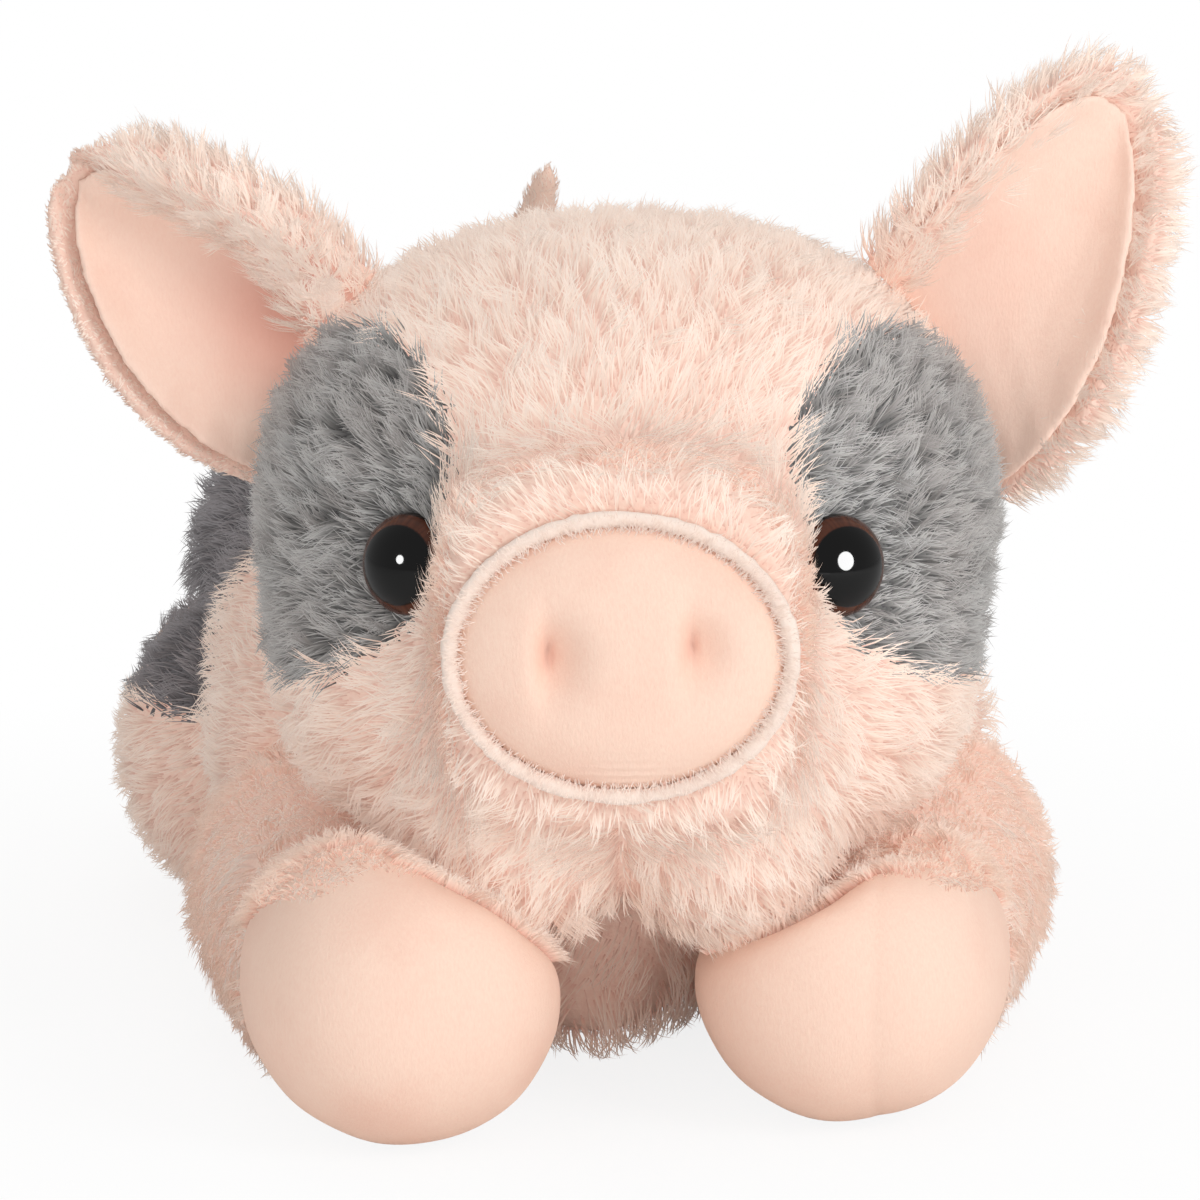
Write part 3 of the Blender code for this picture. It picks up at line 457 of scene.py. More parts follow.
def twist(tree):
    """The lay of a twisted thread."""
    settings = {"wave_type": "BANDS", "bands_direction": "DIAGONAL"}
    return add_node(tree, "ShaderNodeTexWave", settings, Scale=900.0, Distortion=1.5).outputs["Fac"]


def eye_material(name):
    """Brown iris with radial streaks round a black pupil, read from the distance to the eye's own axis."""
    material, tree, shader = new_material(name, 0.05)
    uv = add_node(tree, "ShaderNodeUVMap", {"uv_map": "eye"})
    split = add_node(tree, "ShaderNodeSeparateXYZ", Vector=uv.outputs["UV"])
    spokes = add_node(tree, "ShaderNodeMapping", Vector=uv.outputs["UV"], Scale=(60.0, 2.5, 1.0))
    flat = {"noise_dimensions": "2D"}
    turned = spokes.outputs["Vector"]
    streaks = add_node(tree, "ShaderNodeTexNoise", flat, Vector=turned, Scale=1.0, Detail=3.0)
    brown = mix(tree, streaks.outputs["Fac"], iris_deep, iris_colour)
    edge = 0.5 * (iris_share + 1)
    rings = ((0.0, pupil_colour), (pupil_share, pupil_colour), (pupil_share + 0.03, white))
    rings += ((iris_share, white), (edge, (0.05, 0.04, 0.04, 1)))
    mask = ramp(tree, split.outputs["Y"], rings)
    tree.links.new(mix(tree, 1.0, brown, mask, "MULTIPLY"), shader.inputs["Base Color"])
    shader.inputs["Specular IOR Level"].default_value = 0.3
    return material


# Forms


def read_rows(items, key, kind=float):
    """Three values of each item, as rows."""
    rows = np.empty(len(items) * 3, kind)
    items.foreach_get(key, rows)
    return rows.reshape(-1, 3)


def node_points(name):
    return read_rows(frame["nodes"][name].data.vertices, "co")


def node_faces(names):
    """The points and the faces of some nodes, as one list of each."""
    points = []
    faces = []
    for name in names:
        mesh = frame["nodes"][name].data
        start = len(points)
        points += [vert.co[:] for vert in mesh.vertices]
        faces += [[start + index for index in face.vertices] for face in mesh.polygons]
    return points, faces


def node_tree(*names):
    return BVHTree.FromPolygons(*node_faces(names))


def link_object(name, data):
    item = bpy.data.objects.new(name, data)
    bpy.context.scene.collection.objects.link(item)
    return item


def new_mesh(name, shape):
    """Turns a bmesh into a mesh and frees it."""
    mesh = bpy.data.meshes.new(name)
    shape.to_mesh(mesh)
    shape.free()
    return mesh


def keep_painted_shade(item, values):
    """Keeps a value from 0 to 1 on each point, which the velour turns into painted shade."""
    attribute = item.data.attributes.new("shade", "FLOAT", "POINT")
    attribute.data.foreach_set("value", values)


def unit(rows):
    rows = np.asarray(rows, float)
    return rows / np.maximum(np.linalg.norm(rows, axis=-1, keepdims=True), 1e-12)


def smooth_step(values, low, high):
    share = np.clip((values - low) / (high - low), 0, 1)
    return share * share * (3 - 2 * share)


def outer_shell(shape):
    """Keeps only the largest of a mesh's separate shells."""
    shape.verts.ensure_lookup_table()
    seen = np.zeros(len(shape.verts), bool)
    groups = []
    for vert in shape.verts:
        if seen[vert.index]:
            continue
        seen[vert.index] = True
        group = [vert]
        for item in group:
            for edge in item.link_edges:
                other = edge.other_vert(item)
                if not seen[other.index]:
                    seen[other.index] = True
                    group.append(other)
        groups.append(group)
    groups.sort(key=len)
    spare = [vert for group in groups[:-1] for vert in group]
    bmesh.ops.delete(shape, geom=spare, context="VERTS")


def close_tunnels(shape):
    """Cuts the walls out of any tunnel through a closed surface, and closes the cuts."""
    if len(shape.verts) - len(shape.edges) + len(shape.faces) == 2:
        return
    shape.normal_update()
    tree = BVHTree.FromBMesh(shape)
    walls = []
    for vert in shape.verts:
        start = vert.co + vert.normal * skin_ray_start
        if tree.ray_cast(start, vert.normal, tunnel_width)[0] is not None:
            walls.append(vert)
    bmesh.ops.delete(shape, geom=walls, context="VERTS")
    outer_shell(shape)
    shape.verts.index_update()
    fan_borders(shape)
    bmesh.ops.recalc_face_normals(shape, faces=shape.faces)


def outer_faces(points, faces):
    """The faces of an open shell that look outward, with nothing of the same shell in front of them."""
    tree = BVHTree.FromPolygons(points, faces)
    kept = []
    for face in faces:
        corners = [Vector(points[index]) for index in face]
        middle = sum(corners, Vector()) / len(corners)
        normal = (corners[1] - corners[0]).cross(corners[2] - corners[0]).normalized()
        if tree.ray_cast(middle + normal * skin_ray_start, normal)[0] is None:
            kept.append(face)
    return kept


def fan_borders(shape):
    """Closes each border that is still open with a fan of faces round its middle."""
    waiting = [edge for edge in shape.edges if edge.is_boundary]
    while waiting:
        group = [waiting.pop(0)]
        for edge in group:
            joined = [other for other in waiting if set(other.verts) & set(edge.verts)]
            waiting = [other for other in waiting if other not in joined]
            group += joined
        corners = list({vert.index: vert for edge in group for vert in edge.verts}.values())
        middle = shape.verts.new(sum((vert.co for vert in corners), Vector()) / len(corners))
        for edge in group:
            shape.faces.new((*edge.verts, middle))


def capped_mesh(name, points, faces):
    """A mesh of the faces, with every open border closed by a face."""
    shape = bmesh.new()
    verts = [shape.verts.new(point) for point in points]
    for face in faces:
        shape.faces.new([verts[index] for index in face])
    loose = [vert for vert in shape.verts if not vert.link_faces]
    bmesh.ops.delete(shape, geom=loose, context="VERTS")
    bmesh.ops.remove_doubles(shape, verts=shape.verts, dist=weld_gap)
    shape.verts.index_update()
    borders = [edge for edge in shape.edges if edge.is_boundary]
    bmesh.ops.holes_fill(shape, edges=borders, sides=0)
    fan_borders(shape)
    bmesh.ops.recalc_face_normals(shape, faces=shape.faces)
    return new_mesh(name, shape)


class Form:
    """A closed smooth surface made from the solids of some nodes, with its points and normals at hand."""

    def __init__(self, name, nodes, voxel, rounds, shell=False):
        points, faces = node_faces(nodes)
        if shell:
            rough = capped_mesh(name, points, outer_faces(points, faces))
        else:
            rough = bpy.data.meshes.new(name)
            rough.from_pydata(points, [], faces)
        self.item = link_object(name, rough)
        change = self.item.modifiers.new("voxels", "REMESH")
        change.mode = "VOXEL"
        change.voxel_size = voxel
        shape = bmesh.new()
        shape.from_object(self.item, bpy.context.evaluated_depsgraph_get())
        self.item.modifiers.clear()
        outer_shell(shape)
        if shell:
            close_tunnels(shape)
        before = np.array([vert.co[:] for vert in shape.verts])
        every_axis = {"use_axis_x": True, "use_axis_y": True, "use_axis_z": True}
        for _ in range(rounds):
            bmesh.ops.smooth_vert(shape, verts=shape.verts, factor=smooth_factor, **every_axis)
        shape.normal_update()
        after = np.array([vert.co[:] for vert in shape.verts])
        normals = np.array([vert.normal[:] for vert in shape.verts])
        swell = float(np.mean(np.sum((before - after) * normals, axis=1)))
        for vert in shape.verts:
            vert.co += vert.normal * swell
        self.item.data = new_mesh(name, shape)
        self.item.data.shade_smooth()
        bpy.data.meshes.remove(rough)
        self.read()

    def read(self):
        mesh = self.item.data
        mesh.calc_loop_triangles()
        self.points = read_rows(mesh.vertices, "co")
        self.normals = read_rows(mesh.vertex_normals, "vector")
        self.triangles = read_rows(mesh.loop_triangles, "vertices", int)
        self.tree = BVHTree.FromPolygons(self.points.tolist(), self.triangles.tolist())

    def move(self, points):
        self.item.data.vertices.foreach_set("co", np.ascontiguousarray(points, float).ravel())
        self.item.data.update()
        self.read()

    def scatter(self, count, rng):
        """Random places spread evenly over the surface, with the surface's normal at each."""
        corners = self.points[self.triangles]
        areas = np.linalg.norm(np.cross(corners[:, 1] - corners[:, 0], corners[:, 2] - corners[:, 0]), axis=1)
        picks = rng.choice(len(areas), count, p=areas / areas.sum())
        first = np.sqrt(rng.random(count))
        second = rng.random(count)
        weights = np.stack((1 - first, first * (1 - second), first * second), axis=1)[:, :, None]
        places = np.sum(corners[picks] * weights, axis=1)
        normals = np.sum(self.normals[self.triangles[picks]] * weights, axis=1)
        return places, unit(normals)


def nearest(tree, points):
    """Distance from each point to a surface, and the way to it."""
    distances = np.empty(len(points))
    ways = np.empty((len(points), 3))
    for index, point in enumerate(points.tolist()):
        hit = tree.find_nearest(point)
        distances[index] = hit[3]
        ways[index] = (hit[0] - Vector(point)).normalized()
    return distances, ways


def patch_cloth(form, material, chosen):
    """Gives the faces whose middles are chosen a second material."""
    form.item.data.materials.append(material)
    middles = np.array([face.center[:] for face in form.item.data.polygons])
    form.item.data.polygons.foreach_set("material_index", chosen(middles).astype(np.int32))


def finish_piece(item, material, body, nodes=()):
    item.data.materials.clear()
    item.data.materials.append(material)
    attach(item, body)
    if nodes:
        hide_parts(*nodes)


# Fur


def along_surface(directions, normals):
    flat = directions - normals * np.sum(directions * normals, axis=1, keepdims=True)
    return unit(flat)


def strand_mesh(name, levels, normals, widths, tones):
    """Flat tapered strands with an upper and a lower face; each carries its place along and two tones."""
    count = len(normals)
    quads = len(levels) - 2
    run = levels[-1] - levels[0]
    across = unit(np.cross(run, normals))
    upper = -unit(np.cross(run, across))
    upper *= np.sign(np.sum(upper * normals, axis=1, keepdims=True))
    lower_light = unit(underside_shares[0] * normals - underside_shares[1] * upper)
    upper_light = unit(upside_shares[0] * normals + upside_shares[1] * upper)
    down = -upper * strand_thickness
    rows = []
    shares = []
    for place, share, level in zip(strand_levels[:-1], strand_width_shares, levels):
        half = across * (widths * share / 2)[:, None]
        rows += [level - half, level + half, level - half + down, level + half + down]
        shares += [place] * 4
    rows += [levels[-1]] * 2
    shares += [strand_levels[-1]] * 2
    per = len(rows)
    tip = per - 2
    points = np.stack(rows, axis=1).reshape(-1, 3)
    start = np.arange(count)[:, None] * per
    loops = []
    for step in range(quads):
        low = 4 * step
        loops.append(start + np.array((low, low + 1, low + 5, low + 4)))
        loops.append(start + np.array((low + 3, low + 2, low + 6, low + 7)))
    low = 4 * quads
    loops.append(start + np.array((low, low + 1, tip)))
    loops.append(start + np.array((low + 3, low + 2, tip + 1)))
    corners = np.concatenate(loops, axis=1).ravel()
    sizes = np.tile(np.array([4] * 2 * quads + [3] * 2), count)
    mesh = bpy.data.meshes.new(name)
    mesh.vertices.add(len(points))
    mesh.vertices.foreach_set("co", points.ravel())
    mesh.loops.add(len(corners))
    mesh.loops.foreach_set("vertex_index", corners.astype(np.int32))
    mesh.polygons.add(len(sizes))
    mesh.polygons.foreach_set("loop_start", np.concatenate(([0], np.cumsum(sizes)[:-1])).astype(np.int32))
    mesh.update(calc_edges=True)
    mesh.shade_smooth()

    colours = np.ones((count, per, 4))
    colours[:, :, 0] = np.array(shares)
    colours[:, :, 1] = tones[0][:, None]
    colours[:, :, 2] = tones[1][:, None]
    attribute = mesh.color_attributes.new("strand", "FLOAT_COLOR", "POINT")
    attribute.data.foreach_set("color", colours.ravel())

    side = math.ceil(math.sqrt(count))
    cell = np.stack((np.arange(count) % side, np.arange(count) // side), axis=1) / side
    spots = np.empty((count, per, 2))
    for index, place in enumerate(shares):
        sideways = 0.5 if index >= tip else 0.2 + 0.6 * (index % 2)
        spots[:, index] = cell + np.array((sideways, 0.1 + 0.8 * place)) / side
    layer = mesh.uv_layers.new(name="OFBake")
    layer.data.foreach_set("uv", spots.reshape(-1, 2)[corners].ravel())
    pairs = [upper_light] * 2 + [lower_light] * 2
    lights = np.stack(pairs * (quads + 1) + [upper_light, lower_light], axis=1)
    mesh.normals_split_custom_set_from_vertices(lights.reshape(-1, 3).tolist())
    return link_object(name, mesh)


def steady(way):
    """A comb that runs the same way everywhere."""
    return lambda roots: np.tile(way, (len(roots), 1))


def even(length):
    """The same length of pile everywhere."""
    return lambda roots: np.full(len(roots), length)


def grow(
    name, form, body, material, count, comb, length, seed,
    keep=None, neighbours=(), width=strand_width, lit=None,
):
    """Fur on a form: strands that rise from the cloth, bend over along the comb and gather in tufts."""
    rng = np.random.default_rng(seed)
    roots, normals = form.scatter(int(count * density), rng)
    chosen = (roots[:, 2] > 2 * floor_skin) | (normals[:, 2] > ground_facing)
    if keep is not None:
        chosen &= keep(roots, normals)
    roots = roots[chosen]
    normals = normals[chosen]
    count = len(roots)
    reach = length(roots) * rng.uniform(*strand_reach, count)
    for neighbour in neighbours:
        gaps, ways = nearest(neighbour.tree, roots)
        facing = np.sum(ways * normals, axis=1) > crowd_facing
        crowd = np.where(facing, np.clip(gaps / crowded_gap, crowded_share, 1), 1)
        reach *= crowd

    middles = rng.choice(count, max(count // strands_in_tuft, 1), replace=False)
    finder = KDTree(len(middles))
    for index, place in enumerate(roots[middles].tolist()):
        finder.insert(place, index)
    finder.balance()
    tufts = np.array([finder.find(place)[1] for place in roots.tolist()])
    turns = rng.normal(0, tuft_spread, len(middles))[tufts] + rng.normal(0, tuft_spread / 2, count)
    reach *= rng.uniform(*tuft_reach, len(middles))[tufts]

    flat = along_surface(comb(roots), normals)
    sideways = np.cross(normals, flat)
    lean = flat * np.cos(turns)[:, None] + sideways * np.sin(turns)[:, None]
    sway = rng.normal(0, strand_sway, (count, 3))
    bend = roots + (normals * rise_shares[0] + lean * lean_shares[0]) * reach[:, None]
    tips = roots + (normals * rise_shares[1] + lean * lean_shares[1] + sway) * reach[:, None]
    gather = tips[middles][tufts] - tips
    tips += gather * tuft_pull * rng.uniform(*gather_reach, (count, 1))
    bend += gather * tuft_pull * bend_gather

    levels = []
    for place in strand_levels:
        level = roots * (1 - place) ** 2 + bend * 2 * place * (1 - place) + tips * place**2
        level[:, 2] = np.maximum(level[:, 2], floor_skin)
        levels.append(level)
    open_way = normals if lit is None else unit(lit(roots, normals))
    turned = rng.normal(0, shading_noise, (count, 3))
    shading = unit(open_way + shading_lean * unit(tips - roots) + turned)
    widths = width * rng.uniform(*strand_widths, count)
    tones = (rng.random(len(middles))[tufts], rng.random(count))
    pieces = math.ceil(count / strands_in_piece)
    for piece in range(pieces):
        part = slice(piece, None, pieces)
        label = name if pieces == 1 else f"{name}_{piece + 1}"
        shown = [level[part] for level in levels]
        item = strand_mesh(label, shown, shading[part], widths[part], (tones[0][part], tones[1][part]))
        item.visible_shadow = False
        item.visible_diffuse = False
        finish_piece(item, material, body)


# Head


def joint(name):
    return next(entry for entry in frame["joints"] if entry["name"] == name)


head_middle = np.array(joint("head_nod")["pos_m"])
head_right = -np.array(joint("head_nod")["axis"], float)
head_right /= np.linalg.norm(head_right)
head_back = np.cross((0, 0, 1), head_right)
head_axes = np.stack((head_right, head_back, (0, 0, 1)))


def to_head(points):
    return (points - head_middle) @ head_axes.T


def from_head(points):
    return np.asarray(points) @ head_axes + head_middle


def local_box(name):
    points = to_head(node_points(name))
    return points.min(axis=0), points.max(axis=0)


def oval_share(places, middle, half):
    """How far each place lies from the middle of an oval, as a share of the way to its edge."""
    return np.hypot((places[:, 0] - middle[0]) / half[0], (places[:, 2] - middle[2]) / half[2])


def head_comb(roots):
    """Away from the snout all round, parted at the chin seam, and down at the back of the head."""
    low, high = local_box("snout_disc")
    pivot = (low + high) / 2
    pivot[1] += high[0]
    places = to_head(roots)
    flow = unit(places - pivot)
    flow[:, 2] -= head_droop * smooth_step(places[:, 1], -pivot[1] / 2, high[0])
    below = smooth_step(-places[:, 2], high[2], 2 * high[2])
    nearby = np.exp(-((places[:, 0] / parting_width) ** 2))
    flow[:, 0] += parting_share * np.sign(places[:, 0]) * nearby * below
    return flow @ head_axes


def head_length(roots):
    """Full length over the head, shorter round the snout and close to the eyes."""
    low, high = local_box("snout_rim")
    middle = (low + high) / 2
    half = (high - low) / 2
    places = to_head(roots)
    beyond = (oval_share(places, middle, half) - 1) * half[0] + np.maximum(places[:, 1] - high[1], 0)
    length = muzzle_fur_length + (fur_length - muzzle_fur_length) * smooth_step(beyond, 0, muzzle_fur_reach)
    for side in sides:
        lowest, highest = (np.array(corner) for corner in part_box("eye_" + side))
        centre = (lowest + highest) / 2
        radius = np.max(highest - lowest) / 2
        away = np.linalg.norm(roots - centre, axis=1) - radius
        length = np.minimum(length, eye_fur_length + eye_fur_growth * np.maximum(away, 0))
    return length


def make_head():
    nodes = ["head_skin", "head_filling", "eye_panel_left", "eye_panel_right"]
    form = Form("head_cloth", nodes, body_voxel, body_rounds)
    grey_tree = node_tree("eye_panel_left", "eye_panel_right")
    pink_tree = node_tree("head_skin")
    low, high = local_box("snout_rim")
    middle = (low + high) / 2
    half = (high - low) / 2 - rim_radius
    eyes = [np.array(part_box("eye_" + side)) for side in sides]

    def bare(roots):
        """The places under the snout pad and under the eyes."""
        places = to_head(roots)
        covered = (oval_share(places, middle, half) < 1) & (places[:, 1] < high[1] + rim_radius)
        for corners in eyes:
            reach = np.ptp(corners, axis=0).max() * eye_bare_share
            covered |= np.linalg.norm(roots - corners.mean(axis=0), axis=1) < reach
        return covered

    def grey(roots, seed):
        edge = np.random.default_rng(seed).normal(0, head_edge_blur, roots.shape)
        return nearest(grey_tree, roots + edge)[0] < nearest(pink_tree, roots + edge)[0]

    def pink_part(roots, normals):
        return ~bare(roots) & ~grey(roots, 1)

    def grey_part(roots, normals):
        return ~bare(roots) & grey(roots, 2)

    cloth = cloth_material("pink_backing", pink_middle, pink_root)
    finish_piece(form.item, cloth, "head", nodes)
    patch_cloth(form, cloth_material("grey_backing", grey_middle, grey_root), lambda places: grey(places, 3))
    pink = fur_material("pink_fur", pink_root, pink_middle, pink_tip)
    smoke = fur_material("grey_fur", grey_root, grey_middle, grey_tip, grey_dark_tuft)
    furs = (
        ("head_fur", "pink_pile", pink, head_pink_strands, 10, pink_part),
        ("head_grey_fur", "grey_pile", smoke, head_grey_strands / head_grey_share, 20, grey_part),
    )
    for name, slot, material, count, seed, keep in furs:
        grow(name, form, "head", material, count, head_comb, head_length, seed, keep)
    return form, pink


def make_snout(velour):
    """The velour pad with its two drawn-in nostrils, and the rolled seam round it."""
    low, high = local_box("snout_disc")
    middle = (low + high) / 2
    half = (high - low) / 2 + pad_overlap
    thickness = high[1] - low[1] + snout_puff
    shape = bmesh.new()
    rings = []
    for ring in range(snout_rings):
        share = math.sin(math.pi / 2 * (ring + 1) / snout_rings)
        row = []
        for step in range(snout_sides):
            angle = 2 * math.pi * step / snout_sides
            x = half[0] * share * math.cos(angle)
            z = half[2] * share * math.sin(angle)
            row.append(shape.verts.new(from_head(snout_point(x, z, share, thickness, middle, high))))
        rings.append(row)
    tip = shape.verts.new(from_head(snout_point(0, 0, 0, thickness, middle, high)))
    back = shape.verts.new(from_head((middle[0], high[1], middle[2])))
    bridge(shape, rings)
    for step in range(snout_sides):
        after = (step + 1) % snout_sides
        shape.faces.new((rings[0][step], tip, rings[0][after]))
        shape.faces.new((rings[-1][after], back, rings[-1][step]))
    pad = solid_piece("snout_pad", shape)
    paint_nostril_shade(pad, middle)
    nodes = ["snout_disc", "nostril_stitch_left", "nostril_stitch_right"]
    finish_piece(pad, velour, "head", nodes)

    low, high = local_box("snout_rim")
    middle = (low + high) / 2
    half = (high - low) / 2 - rim_radius
    rng = np.random.default_rng(31)
    wobble = rng.normal(0, rim_wobble, (snout_sides, 2))[:, 0]
    shape = bmesh.new()
    rows = []
    for step in range(snout_sides):
        angle = 2 * math.pi * step / snout_sides
        out = np.array((math.cos(angle), 0, math.sin(angle)))
        centre = np.array((middle[0] + half[0] * out[0], high[1] - rim_radius, middle[2] + half[2] * out[2]))
        radius = rim_radius + wobble[step]
        row = []
        for turn in range(rim_sides):
            around = 2 * math.pi * turn / rim_sides
            spoke = out * math.cos(around) * radius + np.array((0, -math.sin(around) * radius, 0))
            row.append(shape.verts.new(from_head(centre + spoke)))
        rows.append(row)
    bridge(shape, rows + rows[:1])
    rim = solid_piece("snout_seam_roll", shape)
    seam = velour_material("seam_velour", rim_light, rim_deep, patch_scale=120.0)
    finish_piece(rim, seam, "head", ["snout_rim"])
    add_seam_details(middle, half - rim_radius, high[1] - seam_front * rim_radius)


def bridge(shape, rows):
    """Faces between each closed row of points and the next."""
    for lower, upper in zip(rows[:-1], rows[1:]):
        for step in range(len(lower)):
            after = (step + 1) % len(lower)
            shape.faces.new((lower[step], lower[after], upper[after], upper[step]))


def paint_nostril_shade(pad, middle):
    """Keeps on the pad a painted shade: soft over each nostril's dimple and deeper in its slit."""
    points = np.array([vert.co[:] for vert in pad.data.vertices])
    places = to_head(points) - middle
    shade = np.zeros(len(points))
    for side in (-1, 1):
        across = places[:, 0] - side * dimple_side
        upward = places[:, 2] - dimple_rises[int(side > 0)]
        wide = np.where(across > 0, dimple_half_width[1], dimple_half_width[0])
        shade += nostril_painted_shade * np.exp(-((across / wide) ** 2) - (upward / dimple_half_height) ** 2)
        wide = 2 * slit_half_width
        shade += slit_painted_shade * np.exp(-((across / wide) ** 2) - (upward / slit_half_height) ** 2)
    keep_painted_shade(pad, np.clip(shade, 0, 1))


def add_seam_details(middle, half, front):
    """Dark needle marks all round the pad, painted shade in the needle holes, and the fine fuzz that stands
    in the seam.
    """
    rng = np.random.default_rng(33)

    def ring_strands(name, count, length, spans, width, lift, spread, material):
        lengths = length * rng.uniform(*spans, count)
        angles = np.linspace(0, 2 * math.pi, count, endpoint=False) + rng.normal(0, seam_turn, count)
        out = np.stack((np.cos(angles), np.zeros(count), np.sin(angles)), axis=1)
        round_way = np.stack((-np.sin(angles), np.zeros(count), np.cos(angles)), axis=1)
        start = out * half + middle
        start[:, 1] = front
        start += out * rng.normal(0, spread, (count, 1))
        ahead = np.array((0, -1.0, 0))
        way = out + round_way * rng.normal(0, seam_sway, (count, 1)) + ahead * lift
        way = unit(way) * lengths[:, None]
        levels = [from_head(start + way * (place - 0.5 * (lift == 0))) for place in strand_levels]
        facing = np.repeat((ahead @ head_axes)[None, :], count, axis=0)
        tones = (rng.random(count), rng.random(count))
        item = strand_mesh(name, levels, facing, np.full(count, width), tones)
        item.visible_shadow = False
        finish_piece(item, material, "head")

    # Painted shade in the needle holes along the seam
    marks = fur_material("needle_marks", needle_hole_shade_colour, needle_hole_shade_colour, needle_hole_shade_colour)
    size = (needle_mark_length, needle_mark_lengths, needle_mark_width)
    ring_strands("snout_needle_marks", needle_marks, *size, 0, needle_spread, marks)
    fuzz = fur_material("seam_fuzz", rim_deep, rim_light, pink_tip)
    size = (fuzz_length, fuzz_lengths, fuzz_width)
    ring_strands("snout_seam_fuzz", fuzz_strands, *size, fuzz_rise, fuzz_spread, fuzz)


def snout_point(x, z, share, thickness, middle, high):
    """A point of the pad's face: a puffed oval, with a drawn-in dimple at each nostril and folds low down."""
    puff = thickness * max(1 - share**snout_edge_power, 0) ** snout_roundness
    for side in (-1, 1):
        across = x - side * dimple_side
        upward = z - dimple_rises[int(side > 0)]
        half_width = dimple_half_width[int(across > 0)]
        puff -= dimple_depth * math.exp(-((across / half_width) ** 2) - (upward / dimple_half_height) ** 2)
        puff -= slit_depth * math.exp(-((across / slit_half_width) ** 2) - (upward / slit_half_height) ** 2)
    nearby = math.exp(-((x / fold_half_width) ** 2) - ((z + fold_low) / (2 * fold_pitch)) ** 2)
    puff -= fold_depth * nearby * (1 + math.cos(2 * math.pi * z / fold_pitch))
    return (middle[0] + x, high[1] - max(puff, 0), middle[2] + z)


def solid_piece(name, shape):
    bmesh.ops.recalc_face_normals(shape, faces=shape.faces)
    mesh = new_mesh(name, shape)
    mesh.shade_smooth()
    return link_object(name, mesh)


def make_eye(side):
    """A moulded dome with its iris; its UV map holds the angle and the distance to the eye's axis."""
    node = "eye_" + side
    points = node_points(node)
    facing = eye_axis(points)
    along = points @ facing
    rim_height = along.max() - np.ptp(along) * eye_stem_share
    height = along.max() - rim_height
    centre = points.mean(axis=0)
    spread = points - centre
    spread -= np.outer(spread @ facing, facing)
    radius = np.linalg.norm(spread, axis=1).max()
    centre = centre + facing * (rim_height - centre @ facing)
    facing = unit(facing - eye_lean * head_back)
    turn = Vector(facing).to_track_quat("Z", "Y").to_matrix()
    shape = bmesh.new()
    layer = shape.loops.layers.uv.new("eye")
    rows = []
    for ring in range(1, eye_rings + 1):
        polar = math.pi / 2 * ring / eye_rings
        row = []
        for step in range(eye_sides):
            angle = 2 * math.pi * step / eye_sides
            flat = Vector((math.cos(angle), math.sin(angle), 0)) * radius * math.sin(polar)
            flat.z = height * math.cos(polar)
            row.append(shape.verts.new(Vector(centre) + turn @ flat))
        rows.append(row)
    top = shape.verts.new(Vector(centre) + turn @ Vector((0, 0, height)))
    base = shape.verts.new(Vector(centre) - Vector(facing) * height * eye_back_share)
    levels = [math.sin(math.pi / 2 * ring / eye_rings) for ring in range(1, eye_rings + 1)]
    for ring in range(eye_rings - 1):
        for step in range(eye_sides):
            after = (step + 1) % eye_sides
            near, far = rows[ring], rows[ring + 1]
            face = shape.faces.new((near[step], far[step], far[after], near[after]))
            places = ((step, ring), (step, ring + 1), (step + 1, ring + 1), (step + 1, ring))
            for loop, (turned, level) in zip(face.loops, places):
                loop[layer].uv = (turned / eye_sides, levels[level])
    for step in range(eye_sides):
        after = (step + 1) % eye_sides
        face = shape.faces.new((top, rows[0][step], rows[0][after]))
        for loop, place in zip(face.loops, ((step, 0), (step, levels[0]), (step + 1, levels[0]))):
            loop[layer].uv = (place[0] / eye_sides, place[1])
        face = shape.faces.new((base, rows[-1][after], rows[-1][step]))
        for loop in face.loops:
            loop[layer].uv = (0, 1)
    item = solid_piece("eye_dome_" + side, shape)
    finish_piece(item, eye_material("eye_gloss_" + side), "head", [node])


def eye_axis(points):
    """The way that an eye faces: along its stem, out of the head."""
    centre = points.mean(axis=0)
    spread = points - centre
    values, vectors = np.linalg.eigh(spread.T @ spread)
    gaps = np.abs(values - np.median(values))
    axis = vectors[:, np.argmax(gaps)]
    return axis * np.sign(axis @ (centre - head_middle))


# Ears


